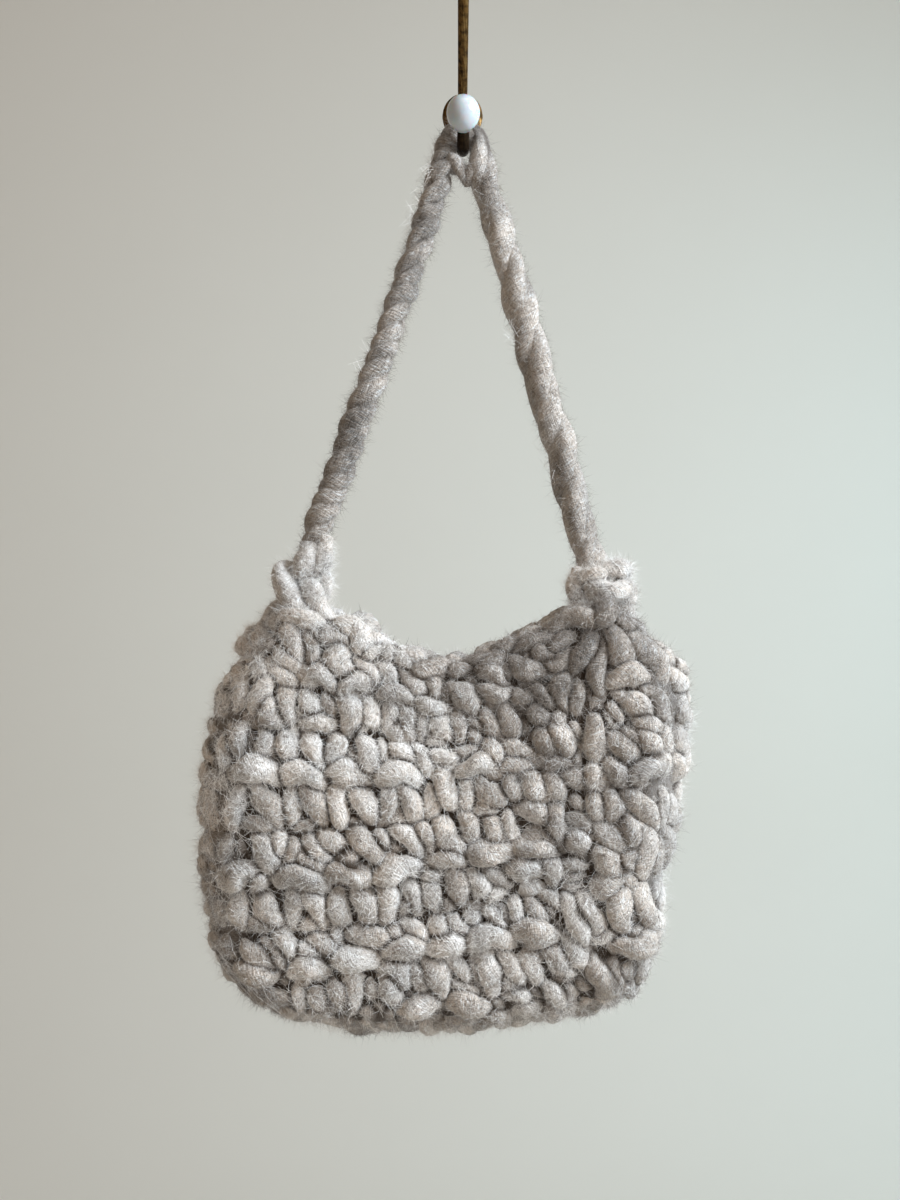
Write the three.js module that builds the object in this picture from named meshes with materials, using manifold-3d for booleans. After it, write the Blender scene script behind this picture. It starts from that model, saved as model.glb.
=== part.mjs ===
// A hand-crocheted wool shoulder bag that hangs by its strap from a brass wall hook with a porcelain knob.
// Millimetres, +Z up. The origin is the centre of the hook's wall face: the wall is the plane y = 0, and
// everything hangs in front of it, towards -Y.
import * as THREE from "three";
import { mergeVertices } from "three/addons/utils/BufferGeometryUtils.js";
import Module from "manifold-3d";

const wasm = await Module();
wasm.setup();

const GAP = 0.35; // clearance between the hook and its knob
const KNOT_GAP = 0.8; // clearance between the knots and the cloth

// Crocheted cloth
const WALL = 17; // thickness of the cloth below its raised strands
const RELIEF = 5.5; // how far the fattest strand stands out of the cloth
const STITCHES_AROUND = 22;
const BANDS = 4; // ridged bands from the fold to the rim, two rows of stitches each
const STEPS_PER_STITCH = 6;
const STEPS_PER_BAND = 8;

// Pouch
const BAG_Y = -47; // middle of its depth
const CROWN = 0.1; // share by which the front and back swell in the middle
const FOLD_ROUND = 0.35; // height over which the fold is rounded, in bands
const FOLD_STEP = 0.05; // first course above the fold, in bands
const INNER_FLOOR = 0.32; // height of the inside's lowest line, in bands
const INNER_COURSES = [4, 3, 2, 1.1, 0.6, INNER_FLOOR];
const LIP_RISE = 7; // height of the rounded rim
const LIP_STEPS = 4;
const LIP_BEAD = 2; // height of the chain stitches along the rim
const KNOT_X = [-104, 91]; // where the strap is knotted to the rim
const GATHER = 0.35; // share by which the knots draw the rim together
const GATHER_REACH = 34;
const GATHER_FROM = 3.2; // lowest course that is drawn together, in bands

// The folded panel by courses, from the fold to the rim: the x of its sides, half its depth, and its height
// at seven stations from the left side to the right side.
const STATIONS = [0, 0.12, 0.27, 0.5, 0.73, 0.88, 1];
const COURSES = [
  { band: 0, left: -130, right: 108, depth: 22, z: [-581, -593, -599, -601, -595, -588, -575] },
  { band: 0.5, left: -152, right: 120, depth: 27, z: [-558, -566, -568, -562, -554, -548, -545] },
  { band: 1, left: -159, right: 124, depth: 31, z: [-534, -535, -532, -523, -509, -504, -508] },
  { band: 2, left: -165, right: 136, depth: 35, z: [-472, -471, -470, -462, -450, -443, -443] },
  { band: 3, left: -158, right: 139, depth: 33, z: [-400, -408, -412, -417, -406, -388, -386] },
  { band: 4, left: -137, right: 124, depth: 27, z: [-366, -341, -359, -376, -354, -338, -357] },
];

// The ridges of one band, from its top down: the humps of each stitch in that ridge, the ridge's place and
// reach as shares of the band, and how far its humps lean to the right, in stitches for each band.
const RIDGES = [
  { ridge: "upper legs", humps: 2, v: 0.19, reach: 0.18, lean: 1.33 },
  { ridge: "bar", humps: 1, v: 0.5, reach: 0.13, lean: 0 },
  { ridge: "lower legs", humps: 2, v: 0.81, reach: 0.18, lean: 0 },
];
const HUMP_ROUND = 0.6; // power that flattens the top of a hump
const UNEVEN = 0.3; // share by which humps differ in height

// Strap: the middle of the cord, from the left knot over the hook to the right knot
const STRAP_RADIUS = 9;
const STRAP_SQUEEZE = 0.3; // share by which the hook flattens the cord
const SQUEEZE_REACH = 30; // length over which the cord fills out again
const TWIST_PITCH = 62; // one full turn of the two plies
const PLY_LIFT = 0.11; // share by which each ply stands out
const STRAP_STEPS = 114;
const STRAP_SIDES = 9;
const ROUTE_TOP = 11; // the point of the route that lies on the hook
const STRAP_ROUTE = [
  [-103, -47, -322],
  [-97, -46, -299],
  [-91, -45, -274],
  [-80, -43, -245],
  [-68, -41, -208],
  [-54, -39, -170],
  [-38, -36, -122],
  [-25, -33, -84],
  [-16, -31, -52],
  [-12, -29.5, -34],
  [-8.4, -29, -23],
  [0, -29, -19.2],
  [8.4, -29, -23],
  [12, -29.5, -34],
  [15, -31, -55],
  [24, -33, -88],
  [32, -35, -114],
  [44, -38, -160],
  [54, -41, -199],
  [66, -43, -239],
  [75, -45, -278],
  [83, -46, -304],
  [90, -47, -322],
];

// The turns of yarn that knot the strap's ends to the bag's corners
const KNOT_TURNS = [
  { at: "left leaf", from: [-115, -54, -307], to: [-98, -67, -338], thick: 19 },
  { at: "left inner", from: [-106, -56, -317], to: [-84, -64, -335], thick: 18 },
  { at: "left back", from: [-115, -44, -311], to: [-97, -29, -336], thick: 17 },
  { at: "right front", from: [75, -56, -318], to: [97, -62, -322], thick: 19 },
  { at: "right outer", from: [91, -54, -315], to: [105, -46, -323], thick: 18 },
  { at: "right back", from: [79, -37, -317], to: [101, -33, -323], thick: 19 },
];
const TURN_STEPS = 4;
const TURN_TAPER = 0.4; // share by which a turn is thinner at its ends

// Wall hook
const PLATE_WIDTH = 27.5;
const PLATE_HEIGHT = 31;
const PLATE_SIDES = 32;
const PLATE_PROFILE = [[0, 0], [1, 0], [1, 1.6], [0.8, 3.4], [0, 4]]; // share of the radius, thickness
const ARM_ROUTE = [[0, -2, -5], [0, -8, -17], [0, -18, -28], [0, -29, -31.5], [0, -39, -29.5], [0, -45, -25]];
const ARM_RADIUS = { root: 4.5, tip: 3.6 };
const STEM_ROUTE = [[0, -2, 3], [0, -11, 12], [0, -36, 31], [0, -62, 54], [0, -80, 74]];
const STEM_RADIUS = { root: 3.2, tip: 3.8 };
const BAR_SIDES = 10;
const BAR_STEPS = 14;
const CAP_STEPS = 3; // rings of a bar's domed end

// Porcelain knob: radius at each distance from its seat along its axis, which leans up and forward
const KNOB_SEAT = [0, -45, -24.5];
const KNOB_LEAN = THREE.MathUtils.degToRad(47); // above the horizontal
const KNOB_PROFILE = [
  [0, 0],
  [4.2, 0],
  [5.2, 1.2],
  [8.8, 5],
  [10.6, 10],
  [10.2, 15.5],
  [7.7, 20],
  [4, 22.6],
  [0, 23.4],
];
const KNOB_SIDES = 24;

const wool = new THREE.MeshStandardMaterial({ color: "#b7b0a7", roughness: 0.95, metalness: 0 });
const brass = new THREE.MeshStandardMaterial({ color: "#5b4420", roughness: 0.45, metalness: 1 });
const porcelain = new THREE.MeshStandardMaterial({ color: "#f1f3f2", roughness: 0.12, metalness: 0 });

// One closed surface: shared corners are merged, and triangles that have shrunk to a line are dropped.
function closed(geometry) {
  geometry.deleteAttribute("normal");
  geometry.deleteAttribute("uv");
  const merged = mergeVertices(geometry, 1e-3);
  const corners = merged.index.array;
  const kept = [];
  for (let i = 0; i < corners.length; i += 3) {
    const [a, b, c] = corners.slice(i, i + 3);
    if (a !== b && b !== c && c !== a) kept.push(a, b, c);
  }
  merged.setIndex(kept);
  return merged;
}

function solid(geometry) {
  const vertProperties = new Float32Array(geometry.attributes.position.array);
  const triVerts = new Uint32Array(geometry.index.array);
  return new wasm.Manifold(new wasm.Mesh({ numProp: 3, vertProperties, triVerts }));
}

function surface(manifold) {
  const mesh = manifold.getMesh();
  const geometry = new THREE.BufferGeometry();
  geometry.setAttribute("position", new THREE.BufferAttribute(mesh.vertProperties, 3));
  geometry.setIndex(new THREE.BufferAttribute(mesh.triVerts, 1));
  return geometry;
}

function piece(name, geometry, material) {
  const shaded = geometry.clone();
  shaded.computeVertexNormals();
  const mesh = new THREE.Mesh(shaded, material);
  mesh.name = name;
  return mesh;
}

// A smooth curve through the values that are given at rising stations.
function smooth(stations, values, at) {
  const last = stations.length - 1;
  let i = 0;
  while (i < last - 1 && at > stations[i + 1]) i += 1;
  const slope = (k) => {
    const before = Math.max(k - 1, 0);
    const after = Math.min(k + 1, last);
    return (values[after] - values[before]) / (stations[after] - stations[before]);
  };
  const span = stations[i + 1] - stations[i];
  const t = (at - stations[i]) / span;
  const rest = 1 - t;
  const ends = values[i] * rest * rest * (1 + 2 * t) + values[i + 1] * t * t * (3 - 2 * t);
  return ends + span * t * rest * (slope(i) * rest - slope(i + 1) * t);
}

// The panel's sizes at a course.
function courseAt(band) {
  const bands = COURSES.map((course) => course.band);
  const across = (read) => smooth(bands, COURSES.map(read), band);
  return {
    left: across((course) => course.left),
    right: across((course) => course.right),
    depth: across((course) => course.depth),
    z: STATIONS.map((station, i) => across((course) => course.z[i])),
  };
}

// Rises from 0 as a quarter circle and stays at 1.
function quarterRound(t) {
  const short = 1 - THREE.MathUtils.clamp(t, 0, 1);
  return Math.sqrt(1 - short * short);
}

// A point of the pouch and the way out of the cloth there. around runs once round the bag from its left side
// along the front, band rises from the fold, inset goes in from the outer face, and floor is the lowest band.
function pouch(around, course, band, inset, floor) {
  const half = (course.right - course.left) / 2 - inset;
  const depth = (course.depth - inset) * quarterRound((band - floor) / FOLD_ROUND);
  const facing = around <= 0.5 ? -1 : 1;
  const flat = 2 * (half - depth);
  const quarter = (Math.PI / 2) * depth;
  const along = (around <= 0.5 ? around : 1 - around) * (2 * flat + 4 * quarter);
  let x = along - quarter - flat / 2;
  let y = depth;
  const out = new THREE.Vector3(0, facing, 0);
  if (along < quarter) {
    const turn = along / depth;
    x = -flat / 2 - depth * Math.cos(turn);
    y = depth * Math.sin(turn);
    out.set(-Math.cos(turn), facing * Math.sin(turn), 0);
  } else if (along > quarter + flat) {
    const turn = (along - quarter - flat) / depth;
    x = flat / 2 + depth * Math.sin(turn);
    y = depth * Math.cos(turn);
    out.set(Math.sin(turn), facing * Math.cos(turn), 0);
  }
  const share = x / half;
  const z = smooth(STATIONS, course.z, (share + 1) / 2);
  y *= 1 + CROWN * (1 - share * share);
  x += (course.left + course.right) / 2;
  const pull = GATHER * THREE.MathUtils.smoothstep(band, GATHER_FROM, BANDS);
  for (const knot of KNOT_X) x -= pull * (x - knot) * Math.exp(-(((x - knot) / GATHER_REACH) ** 2));
  const level = quarterRound(band / FOLD_ROUND);
  out.multiplyScalar(level);
  out.z = -Math.sqrt(1 - level * level);
  return { point: new THREE.Vector3(x, BAG_Y + facing * y, z), out };
}

// A number from -1 to 1 that differs from stitch to stitch.
function wander(column, row, kind) {
  const wave = Math.sin(column * 12.99 + row * 78.23 + kind * 37.7) * 43758.55;
  return 2 * (wave - Math.floor(wave)) - 1;
}

// How far the crocheted face stands out of the cloth.
function relief(around, band) {
  const down = BANDS - band;
  const row = Math.min(Math.floor(down), BANDS - 1);
  const halfStep = 0.5 / STEPS_PER_BAND;
  let top = 0;
  RIDGES.forEach(({ humps, v, reach, lean }, kind) => {
    const below = down - row - v;
    const place = (around * STITCHES_AROUND - lean * (below + halfStep) + STITCHES_AROUND) * humps;
    const height = 1 - (UNEVEN / 2) * (1 + wander(Math.floor(place) % (STITCHES_AROUND * humps), row, kind));
    const across = Math.abs(Math.sin(Math.PI * place)) ** HUMP_ROUND;
    const fall = Math.cos((Math.PI / 2) * Math.min(Math.abs(below) / reach, 1));
    top = Math.max(top, height * across * fall);
  });
  return RELIEF * top;
}

// The rows of the pouch's surface: up the outer face, over the lip and down the inside.
function pouchRows(grow) {
  const rows = [];
  const outerBands = [0, FOLD_STEP];
  for (let i = 1; i <= BANDS * STEPS_PER_BAND; i += 1) outerBands.push(i / STEPS_PER_BAND);
  for (const band of outerBands) rows.push({ band, inset: 0, floor: 0, rise: 0, raised: true });
  for (let i = 1; i < LIP_STEPS; i += 1) {
    const turn = (Math.PI * i) / LIP_STEPS;
    const inset = ((1 - Math.cos(turn)) / 2) * WALL - grow * Math.cos(turn);
    rows.push({ band: BANDS, inset, floor: 0, rise: (LIP_RISE + grow) * Math.sin(turn), raised: false });
  }
  for (const band of INNER_COURSES) {
    rows.push({ band, inset: WALL + grow, floor: INNER_FLOOR, rise: grow, raised: false });
  }
  return rows;
}

// The pouch, one closed skin folded shut along its outer and its inner bottom line. grow swells it all over.
function pouchGeometry(grow) {
  const rows = pouchRows(grow);
  for (const row of rows) row.course = courseAt(row.band);
  const columns = STITCHES_AROUND * STEPS_PER_STITCH;
  const geometry = new THREE.PlaneGeometry(1, 1, columns, rows.length - 1);
  const position = geometry.attributes.position;
  for (let j = 0; j < rows.length; j += 1) {
    const row = rows[rows.length - 1 - j];
    for (let i = 0; i <= columns; i += 1) {
      const around = i / columns;
      const { point, out } = pouch(around, row.course, row.band, row.inset, row.floor);
      if (row.raised) point.addScaledVector(out, grow + relief(around, row.band));
      const bead = LIP_BEAD * Math.abs(Math.sin(Math.PI * around * STITCHES_AROUND));
      point.z += row.rise + (row.rise > grow ? bead : 0);
      position.setXYZ(j * (columns + 1) + i, point.x, point.y, point.z);
    }
  }
  return closed(geometry);
}

// A round bar with domed ends along a curve: radiusAt gives its radius at a length along it, and swellAt the
// share by which it stands out at a turn around it.
function barGeometry(curve, sides, steps, radiusAt, swellAt = () => 0) {
  const length = curve.getLength();
  const frames = curve.computeFrenetFrames(steps, false);
  const geometry = new THREE.CapsuleGeometry(1, length, CAP_STEPS, sides, steps);
  const position = geometry.attributes.position;
  for (let i = 0; i < position.count; i += 1) {
    const flatPoint = new THREE.Vector3().fromBufferAttribute(position, i);
    const along = THREE.MathUtils.clamp(flatPoint.y + length / 2, 0, length);
    const beyond = flatPoint.y + length / 2 - along;
    const step = Math.round((along / length) * steps);
    const radius = radiusAt(along);
    const side = radius * (1 + swellAt(along, Math.atan2(flatPoint.z, flatPoint.x)));
    const point = curve.getPointAt(step / steps);
    point.addScaledVector(frames.normals[step], flatPoint.x * side);
    point.addScaledVector(frames.binormals[step], -flatPoint.z * side);
    point.addScaledVector(frames.tangents[step], beyond * radius);
    position.setXYZ(i, point.x, point.y, point.z);
  }
  return closed(geometry);
}

function curveThrough(points) {
  return new THREE.CatmullRomCurve3(points.map((point) => new THREE.Vector3(...point)), false, "centripetal");
}

// The strap: a two-ply cord, squeezed where it bends over the hook, with its ends knotted to the bag.
function strapSolid() {
  const route = curveThrough(STRAP_ROUTE);
  const top = curveThrough(STRAP_ROUTE.slice(0, ROUTE_TOP + 1)).getLength();
  const squeezeAt = (along) => Math.exp(-(((along - top) / SQUEEZE_REACH) ** 2));
  const radiusAt = (along) => STRAP_RADIUS * (1 - STRAP_SQUEEZE * squeezeAt(along));
  const plyAt = (along, turn) => {
    const lobes = Math.cos(2 * (turn - (2 * Math.PI * along) / TWIST_PITCH));
    return PLY_LIFT * lobes * (1 - squeezeAt(along));
  };
  let strap = solid(barGeometry(route, STRAP_SIDES, STRAP_STEPS, radiusAt, plyAt));
  for (const { from, to, thick } of KNOT_TURNS) {
    const line = new THREE.LineCurve3(new THREE.Vector3(...from), new THREE.Vector3(...to));
    const bow = (along) => Math.sin((Math.PI * along) / line.getLength());
    const turnRadius = (along) => (thick / 2) * (1 - TURN_TAPER * (1 - bow(along)));
    strap = strap.add(solid(barGeometry(line, STRAP_SIDES, TURN_STEPS, turnRadius)));
  }
  return strap.subtract(solid(pouchGeometry(KNOT_GAP)));
}

// A bar of the hook, tapered from its root to its tip. grow makes it thicker.
function taperedBar(points, radius, grow) {
  const curve = curveThrough(points);
  const length = curve.getLength();
  const radiusAt = (along) => grow + THREE.MathUtils.lerp(radius.root, radius.tip, along / length);
  return solid(barGeometry(curve, BAR_SIDES, BAR_STEPS, radiusAt));
}

// The cast hook: an oval wall plate with a lower arm that carries the knob and an upper arm. Its back is cut flat.
function hookSolid() {
  const profile = PLATE_PROFILE.map(([share, height]) => new THREE.Vector2(share, height));
  const plate = new THREE.LatheGeometry(profile, PLATE_SIDES);
  plate.scale(PLATE_WIDTH / 2, 1, PLATE_HEIGHT / 2);
  plate.rotateX(Math.PI);
  const arms = taperedBar(ARM_ROUTE, ARM_RADIUS, 0).add(taperedBar(STEM_ROUTE, STEM_RADIUS, 0));
  return solid(closed(plate)).add(arms).trimByPlane([0, -1, 0], 0);
}

// The knob, with the socket that the lower arm's tip goes into.
function knobSolid() {
  const profile = KNOB_PROFILE.map(([radius, along]) => new THREE.Vector2(radius, along));
  const knob = new THREE.LatheGeometry(profile, KNOB_SIDES);
  knob.rotateX(Math.PI - KNOB_LEAN);
  knob.translate(...KNOB_SEAT);
  return solid(closed(knob)).subtract(taperedBar(ARM_ROUTE, ARM_RADIUS, GAP));
}

const bag = new THREE.Group();
bag.add(piece("bag_body", pouchGeometry(0), wool));
bag.add(piece("strap", surface(strapSolid()), wool));
bag.add(piece("wall_hook", surface(hookSolid()), brass));
bag.add(piece("hook_knob", surface(knobSolid()), porcelain));

export default bag;
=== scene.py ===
# A hand-crocheted shoulder bag of jumbo wool that hangs by its strap from a brass hook with a porcelain knob.
# Metres, +Z up. The hook's back face is in the plane y = 0, and the part is in front of it, towards -Y.
import math

import bmesh
import bpy
import numpy as np
from mathutils import Matrix, Vector


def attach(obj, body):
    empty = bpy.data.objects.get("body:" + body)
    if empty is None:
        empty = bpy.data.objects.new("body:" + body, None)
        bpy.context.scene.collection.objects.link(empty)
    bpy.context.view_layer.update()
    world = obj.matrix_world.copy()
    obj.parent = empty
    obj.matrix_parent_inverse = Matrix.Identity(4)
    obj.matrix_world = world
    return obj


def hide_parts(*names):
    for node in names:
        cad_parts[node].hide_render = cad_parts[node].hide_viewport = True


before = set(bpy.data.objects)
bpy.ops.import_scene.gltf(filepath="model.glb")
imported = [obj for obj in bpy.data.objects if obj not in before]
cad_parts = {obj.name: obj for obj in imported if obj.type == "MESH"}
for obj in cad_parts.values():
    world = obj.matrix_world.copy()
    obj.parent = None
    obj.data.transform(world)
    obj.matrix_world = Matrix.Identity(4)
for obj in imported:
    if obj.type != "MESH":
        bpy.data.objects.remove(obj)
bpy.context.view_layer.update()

# Viewpoint: a level view from straight in front, at the height of the two knots.
# The picture is 900 x 1200, and its focal length is given in pixels of that frame.
FRAME_WIDTH_PX = 900
FRAME_HEIGHT_PX = 1200
FOCAL_PX = 1384.6
VIEW_FROM = (-0.0085, -0.940, -0.3279)
SENSOR_HEIGHT = 24.0
lens = bpy.data.cameras.new("viewpoint")
lens.sensor_fit = "VERTICAL"
lens.sensor_height = SENSOR_HEIGHT
lens.lens = SENSOR_HEIGHT * FOCAL_PX / FRAME_HEIGHT_PX
viewpoint = bpy.data.objects.new("viewpoint", lens)
viewpoint.location = VIEW_FROM
viewpoint.rotation_euler = (math.pi / 2, 0, 0)
bpy.context.collection.objects.link(viewpoint)
bpy.context.scene.camera = viewpoint

# Wall hook: an old cast brass hook, brown with age and rubbed along its arms. It is fixed by an oval plate,
# its lower arm curls up to carry the knob, and its upper arm reaches forward and up.
MM = 0.001
PLATE_SIZE = (27.5 * MM, 31 * MM)
PLATE_PROFILE = [
    # share of the plate's half size, and millimetres in front of its back face
    (0, 0), (1, 0), (1, 1.1), (0.97, 1.6), (0.9, 1.8), (0.86, 2.7), (0.78, 3.4), (0.4, 3.9), (0, 4),
]
ARM_ROUTE = [(0, -2, -5), (0, -8, -17), (0, -18, -28), (0, -29, -31.5), (0, -39, -29.5), (0, -45, -25)]
ARM_RADIUS = (4.5 * MM, 3.9 * MM)
STEM_ROUTE = [(0, -2, 3), (0, -11, 12), (0, -36, 31), (0, -62, 54), (0, -80, 74)]
STEM_RADIUS = (3.2 * MM, 3.8 * MM)
# points along an arm and round its domed tip, and between two points of a route
BAR_POINTS = 40
DOME_DEGREES = (30, 60, 80, 90)
CURVE_STEPS = 24
CAST_VOXEL = 0.65 * MM
WELD = 1e-6
BROWN_BRASS = (0.150, 0.082, 0.026, 1)
DARK_BRASS = (0.036, 0.020, 0.009, 1)
RUBBED_BRASS = (0.30, 0.195, 0.08, 1)
# the dark that the lower arm is painted with, as the shade under the knob and strap
PAINTED_SHADE_BRASS = (0.016, 0.012, 0.010, 1)


def unit(vectors):
    return vectors / np.maximum(np.linalg.norm(vectors, axis=-1, keepdims=True), 1e-9)


def through(points, count):
    """Evenly spaced points of a smooth curve through the given ones."""
    points = np.array(points, float)
    ends = np.vstack([2 * points[0] - points[1], points, 2 * points[-1] - points[-2]])
    knots = np.concatenate([[0], np.cumsum(np.linalg.norm(np.diff(ends, axis=0), axis=1) ** 0.5)])
    fine = []
    for i in range(1, len(ends) - 2):
        k0, k1, k2, k3 = knots[i - 1 : i + 3]
        p0, p1, p2, p3 = ends[i - 1 : i + 3]
        t = np.linspace(k1, k2, CURVE_STEPS, endpoint=False)[:, None]
        a1 = (k1 - t) / (k1 - k0) * p0 + (t - k0) / (k1 - k0) * p1
        a2 = (k2 - t) / (k2 - k1) * p1 + (t - k1) / (k2 - k1) * p2
        a3 = (k3 - t) / (k3 - k2) * p2 + (t - k2) / (k3 - k2) * p3
        b1 = (k2 - t) / (k2 - k0) * a1 + (t - k0) / (k2 - k0) * a2
        b2 = (k3 - t) / (k3 - k1) * a2 + (t - k1) / (k3 - k1) * a3
        fine.append((k2 - t) / (k2 - k1) * b1 + (t - k1) / (k2 - k1) * b2)
    fine = np.vstack(fine + [points[-1:]])
    along = np.concatenate([[0], np.cumsum(np.linalg.norm(np.diff(fine, axis=0), axis=1))])
    even = np.linspace(0, along[-1], count)
    return np.stack([np.interp(even, along, fine[:, k]) for k in range(3)], axis=1)


def add_bar(bm, route, radius):
    """A round bar with a domed tip along a route, tapered from its root to its tip."""
    middle = through(np.array(route) * MM, BAR_POINTS)
    heading = unit(np.gradient(middle, axis=0))
    thick = np.linspace(*radius, BAR_POINTS)
    tip, way = middle[-1], heading[-1]
    for turn in DOME_DEGREES:
        lean = math.radians(turn)
        middle = np.vstack([middle, tip + way * radius[1] * math.sin(lean)])
        thick = np.append(thick, max(radius[1] * math.cos(lean), 0.02 * MM))
    curve = bpy.data.curves.new("bar", "CURVE")
    curve.dimensions = "3D"
    curve.bevel_depth = 1.0
    curve.bevel_resolution = 5
    curve.use_fill_caps = True
    line = curve.splines.new("POLY")
    line.points.add(len(middle) - 1)
    for point, place, size in zip(line.points, middle, thick):
        point.co = (*place, 1)
        point.radius = size
    holder = bpy.data.objects.new("bar", curve)
    bpy.context.collection.objects.link(holder)
    swept = bpy.data.meshes.new_from_object(holder.evaluated_get(bpy.context.evaluated_depsgraph_get()))
    bm.from_mesh(swept)
    bpy.data.objects.remove(holder)
    bpy.data.meshes.remove(swept)


def finished(name, bm, material, slot, *nodes):
    """The piece made of a bmesh, smooth and placed."""
    mesh = bpy.data.meshes.new(name)
    bm.to_mesh(mesh)
    bm.free()
    mesh.shade_smooth()
    return placed(bpy.data.objects.new(name, mesh), material, slot, *nodes)


def placed(piece, material, slot, *nodes):
    """The piece with its material, on the one body and in the place of its CAD nodes; slot is not used."""
    bpy.context.collection.objects.link(piece)
    piece.data.materials.append(material)
    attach(piece, "root")
    if nodes:
        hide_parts(*nodes)
    return piece


class Shade:
    """A socket of a material. Sums, products and differences of sockets add the nodes that work them out."""

    def __init__(self, tree, socket):
        self.tree, self.socket = tree, socket

    def node(self, kind, settings=(), sockets=(), output=0):
        """An output of a new node, whose settings are set before its sockets get their values or links."""
        made = self.tree.nodes.new("ShaderNode" + kind)
        for key, value in dict(settings).items():
            setattr(made, key, value)
        for key, value in dict(sockets).items():
            if isinstance(value, Shade):
                self.tree.links.new(value.socket, made.inputs[key])
            else:
                made.inputs[key].default_value = value
        return Shade(self.tree, made.outputs[output])

    def maths(self, operation, first, second):
        return self.node("Math", {"operation": operation}, {0: first, 1: second})

    def __add__(self, other):
        return self.maths("ADD", self, other)

    def __radd__(self, other):
        return self.maths("ADD", other, self)

    def __rsub__(self, other):
        return self.maths("SUBTRACT", other, self)

    def __mul__(self, other):
        return self.maths("MULTIPLY", self, other)

    def __rmul__(self, other):
        return self.maths("MULTIPLY", other, self)

    def mix(self, first, second):
        """The first colour where this is 0, the second where it is 1."""
        sockets = {0: self, 6: first, 7: second}
        return self.node("Mix", {"data_type": "RGBA"}, sockets, output=2)

    def between(self, low, high):
        """Rises smoothly from 0 at low to 1 at high."""
        settings = {"interpolation_type": "SMOOTHSTEP"}
        return self.node("MapRange", settings, {"Value": self, "From Min": low, "From Max": high})

    def noise(self, size, detail=2.0, rough=0.5, turn=0.0):
        """Clumps of one size, or of a size each way, turned in the plane of the first two."""
        sizes = size if isinstance(size, tuple) else (size, size, size)
        sockets = {"Vector": self, "Scale": sizes, "Rotation": (0, 0, turn)}
        vector = self.node("Mapping", {"vector_type": "TEXTURE"}, sockets)
        sockets = {"Vector": vector, "Scale": 1.0, "Detail": detail, "Roughness": rough}
        return self.node("TexNoise", {}, sockets)


def new_material(name, fixed):
    """A material with its fixed values set, its Principled node and its object's coordinates."""
    material = bpy.data.materials.new(name)
    material.use_nodes = True
    tree = material.node_tree
    principled = tree.nodes["Principled BSDF"]
    for key, value in fixed.items():
        principled.inputs[key].default_value = value
    place = Shade(tree, tree.nodes.new("ShaderNodeTexCoord").outputs["Object"])
    return material, principled, place


def wire(principled, **links):
    """Links what changes over a surface to the Principled node."""
    names = {"colour": "Base Color", "roughness": "Roughness", "normal": "Normal"}
    for key, value in links.items():
        principled.id_data.links.new(value.socket, principled.inputs[names[key]])


aged_brass, shader, place = new_material("aged_brass", {"Metallic": 1.0, "Specular IOR Level": 0.5})
tarnish = place.noise(4.2 * MM, 4, 0.6).between(0.38, 0.68)
streaks = place.noise((0.5 * MM, 11 * MM, 11 * MM), 3, 0.6).between(0.5, 0.66)
rubbed = streaks * (1 - 0.6 * tarnish)
browned = tarnish.mix(BROWN_BRASS, DARK_BRASS)
# painted shade: the lower arm, under the knob and strap, is painted dark, fading in from 4 mm to 22 mm below
# the plate's middle; it is made rougher there too
painted_shade_low = 1 - place.node("SeparateXYZ", {}, {"Vector": place}, output=2).between(-22 * MM, -4 * MM)
worn = rubbed.mix(browned, RUBBED_BRASS)
wire(shader, colour=(0.85 * painted_shade_low).mix(worn, PAINTED_SHADE_BRASS))
wire(shader, roughness=0.60 - 0.14 * rubbed + 0.12 * tarnish + 0.12 * painted_shade_low)
pits = place.noise(1.1 * MM, 3, 0.6)
wire(shader, normal=place.node("Bump", {}, {"Strength": 0.25, "Distance": 0.0002, "Height": pits}))

casting = bmesh.new()
rim = [casting.verts.new((share, -high * MM, 0)) for share, high in PLATE_PROFILE]
edges = [casting.edges.new(pair) for pair in zip(rim, rim[1:])]
turning = {"cent": (0, 0, 0), "axis": (0, 1, 0), "angle": 2 * math.pi, "steps": 64, "use_merge": True}
bmesh.ops.spin(casting, geom=rim + edges, **turning)
bmesh.ops.scale(casting, vec=(PLATE_SIZE[0] / 2, 1, PLATE_SIZE[1] / 2), verts=casting.verts)
bmesh.ops.remove_doubles(casting, verts=casting.verts, dist=WELD)
bmesh.ops.recalc_face_normals(casting, faces=casting.faces)
add_bar(casting, ARM_ROUTE, ARM_RADIUS)
add_bar(casting, STEM_ROUTE, STEM_RADIUS)
whole = casting.verts[:] + casting.edges[:] + casting.faces[:]
back_face = {"plane_co": (0, 0, 0), "plane_no": (0, 1, 0), "clear_outer": True}
sawn = bmesh.ops.bisect_plane(casting, geom=whole, dist=WELD, **back_face)["geom_cut"]
bmesh.ops.holes_fill(casting, edges=[part for part in sawn if isinstance(part, bmesh.types.BMEdge)], sides=0)
hook = finished("hook_casting", casting, aged_brass, "brass", "wall_hook")
cast = hook.modifiers.new("one casting", "REMESH")
cast.mode = "VOXEL"
cast.voxel_size = CAST_VOXEL
cast.use_smooth_shade = True
soft = hook.modifiers.new("worn edges", "SMOOTH")
soft.factor, soft.iterations = 0.5, 4

# Knob: white glazed porcelain, a plump egg turned on the wheel, with a little soil and cloud in its glaze.
# It sits on the tip of the lower arm and leans up and forward.
KNOB_SEAT = (0, -45 * MM, -24.5 * MM)
KNOB_LEAN = math.radians(47)
KNOB_PROFILE = [
    # radius and distance from the seat in millimetres
    (0, 0), (3.0, 0), (4.2, 0.15), (5.2, 1.2), (8.8, 5),
    (10.6, 10), (10.2, 15.5), (7.7, 20), (4, 22.6), (0, 23.4),
]
KNOB_POINTS = 40
WHITE_GLAZE = (0.53, 0.59, 0.63, 1)
CLOUDED_GLAZE = (0.49, 0.54, 0.57, 1)
KNOB_SOIL = (0.50, 0.46, 0.40, 1)

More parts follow.
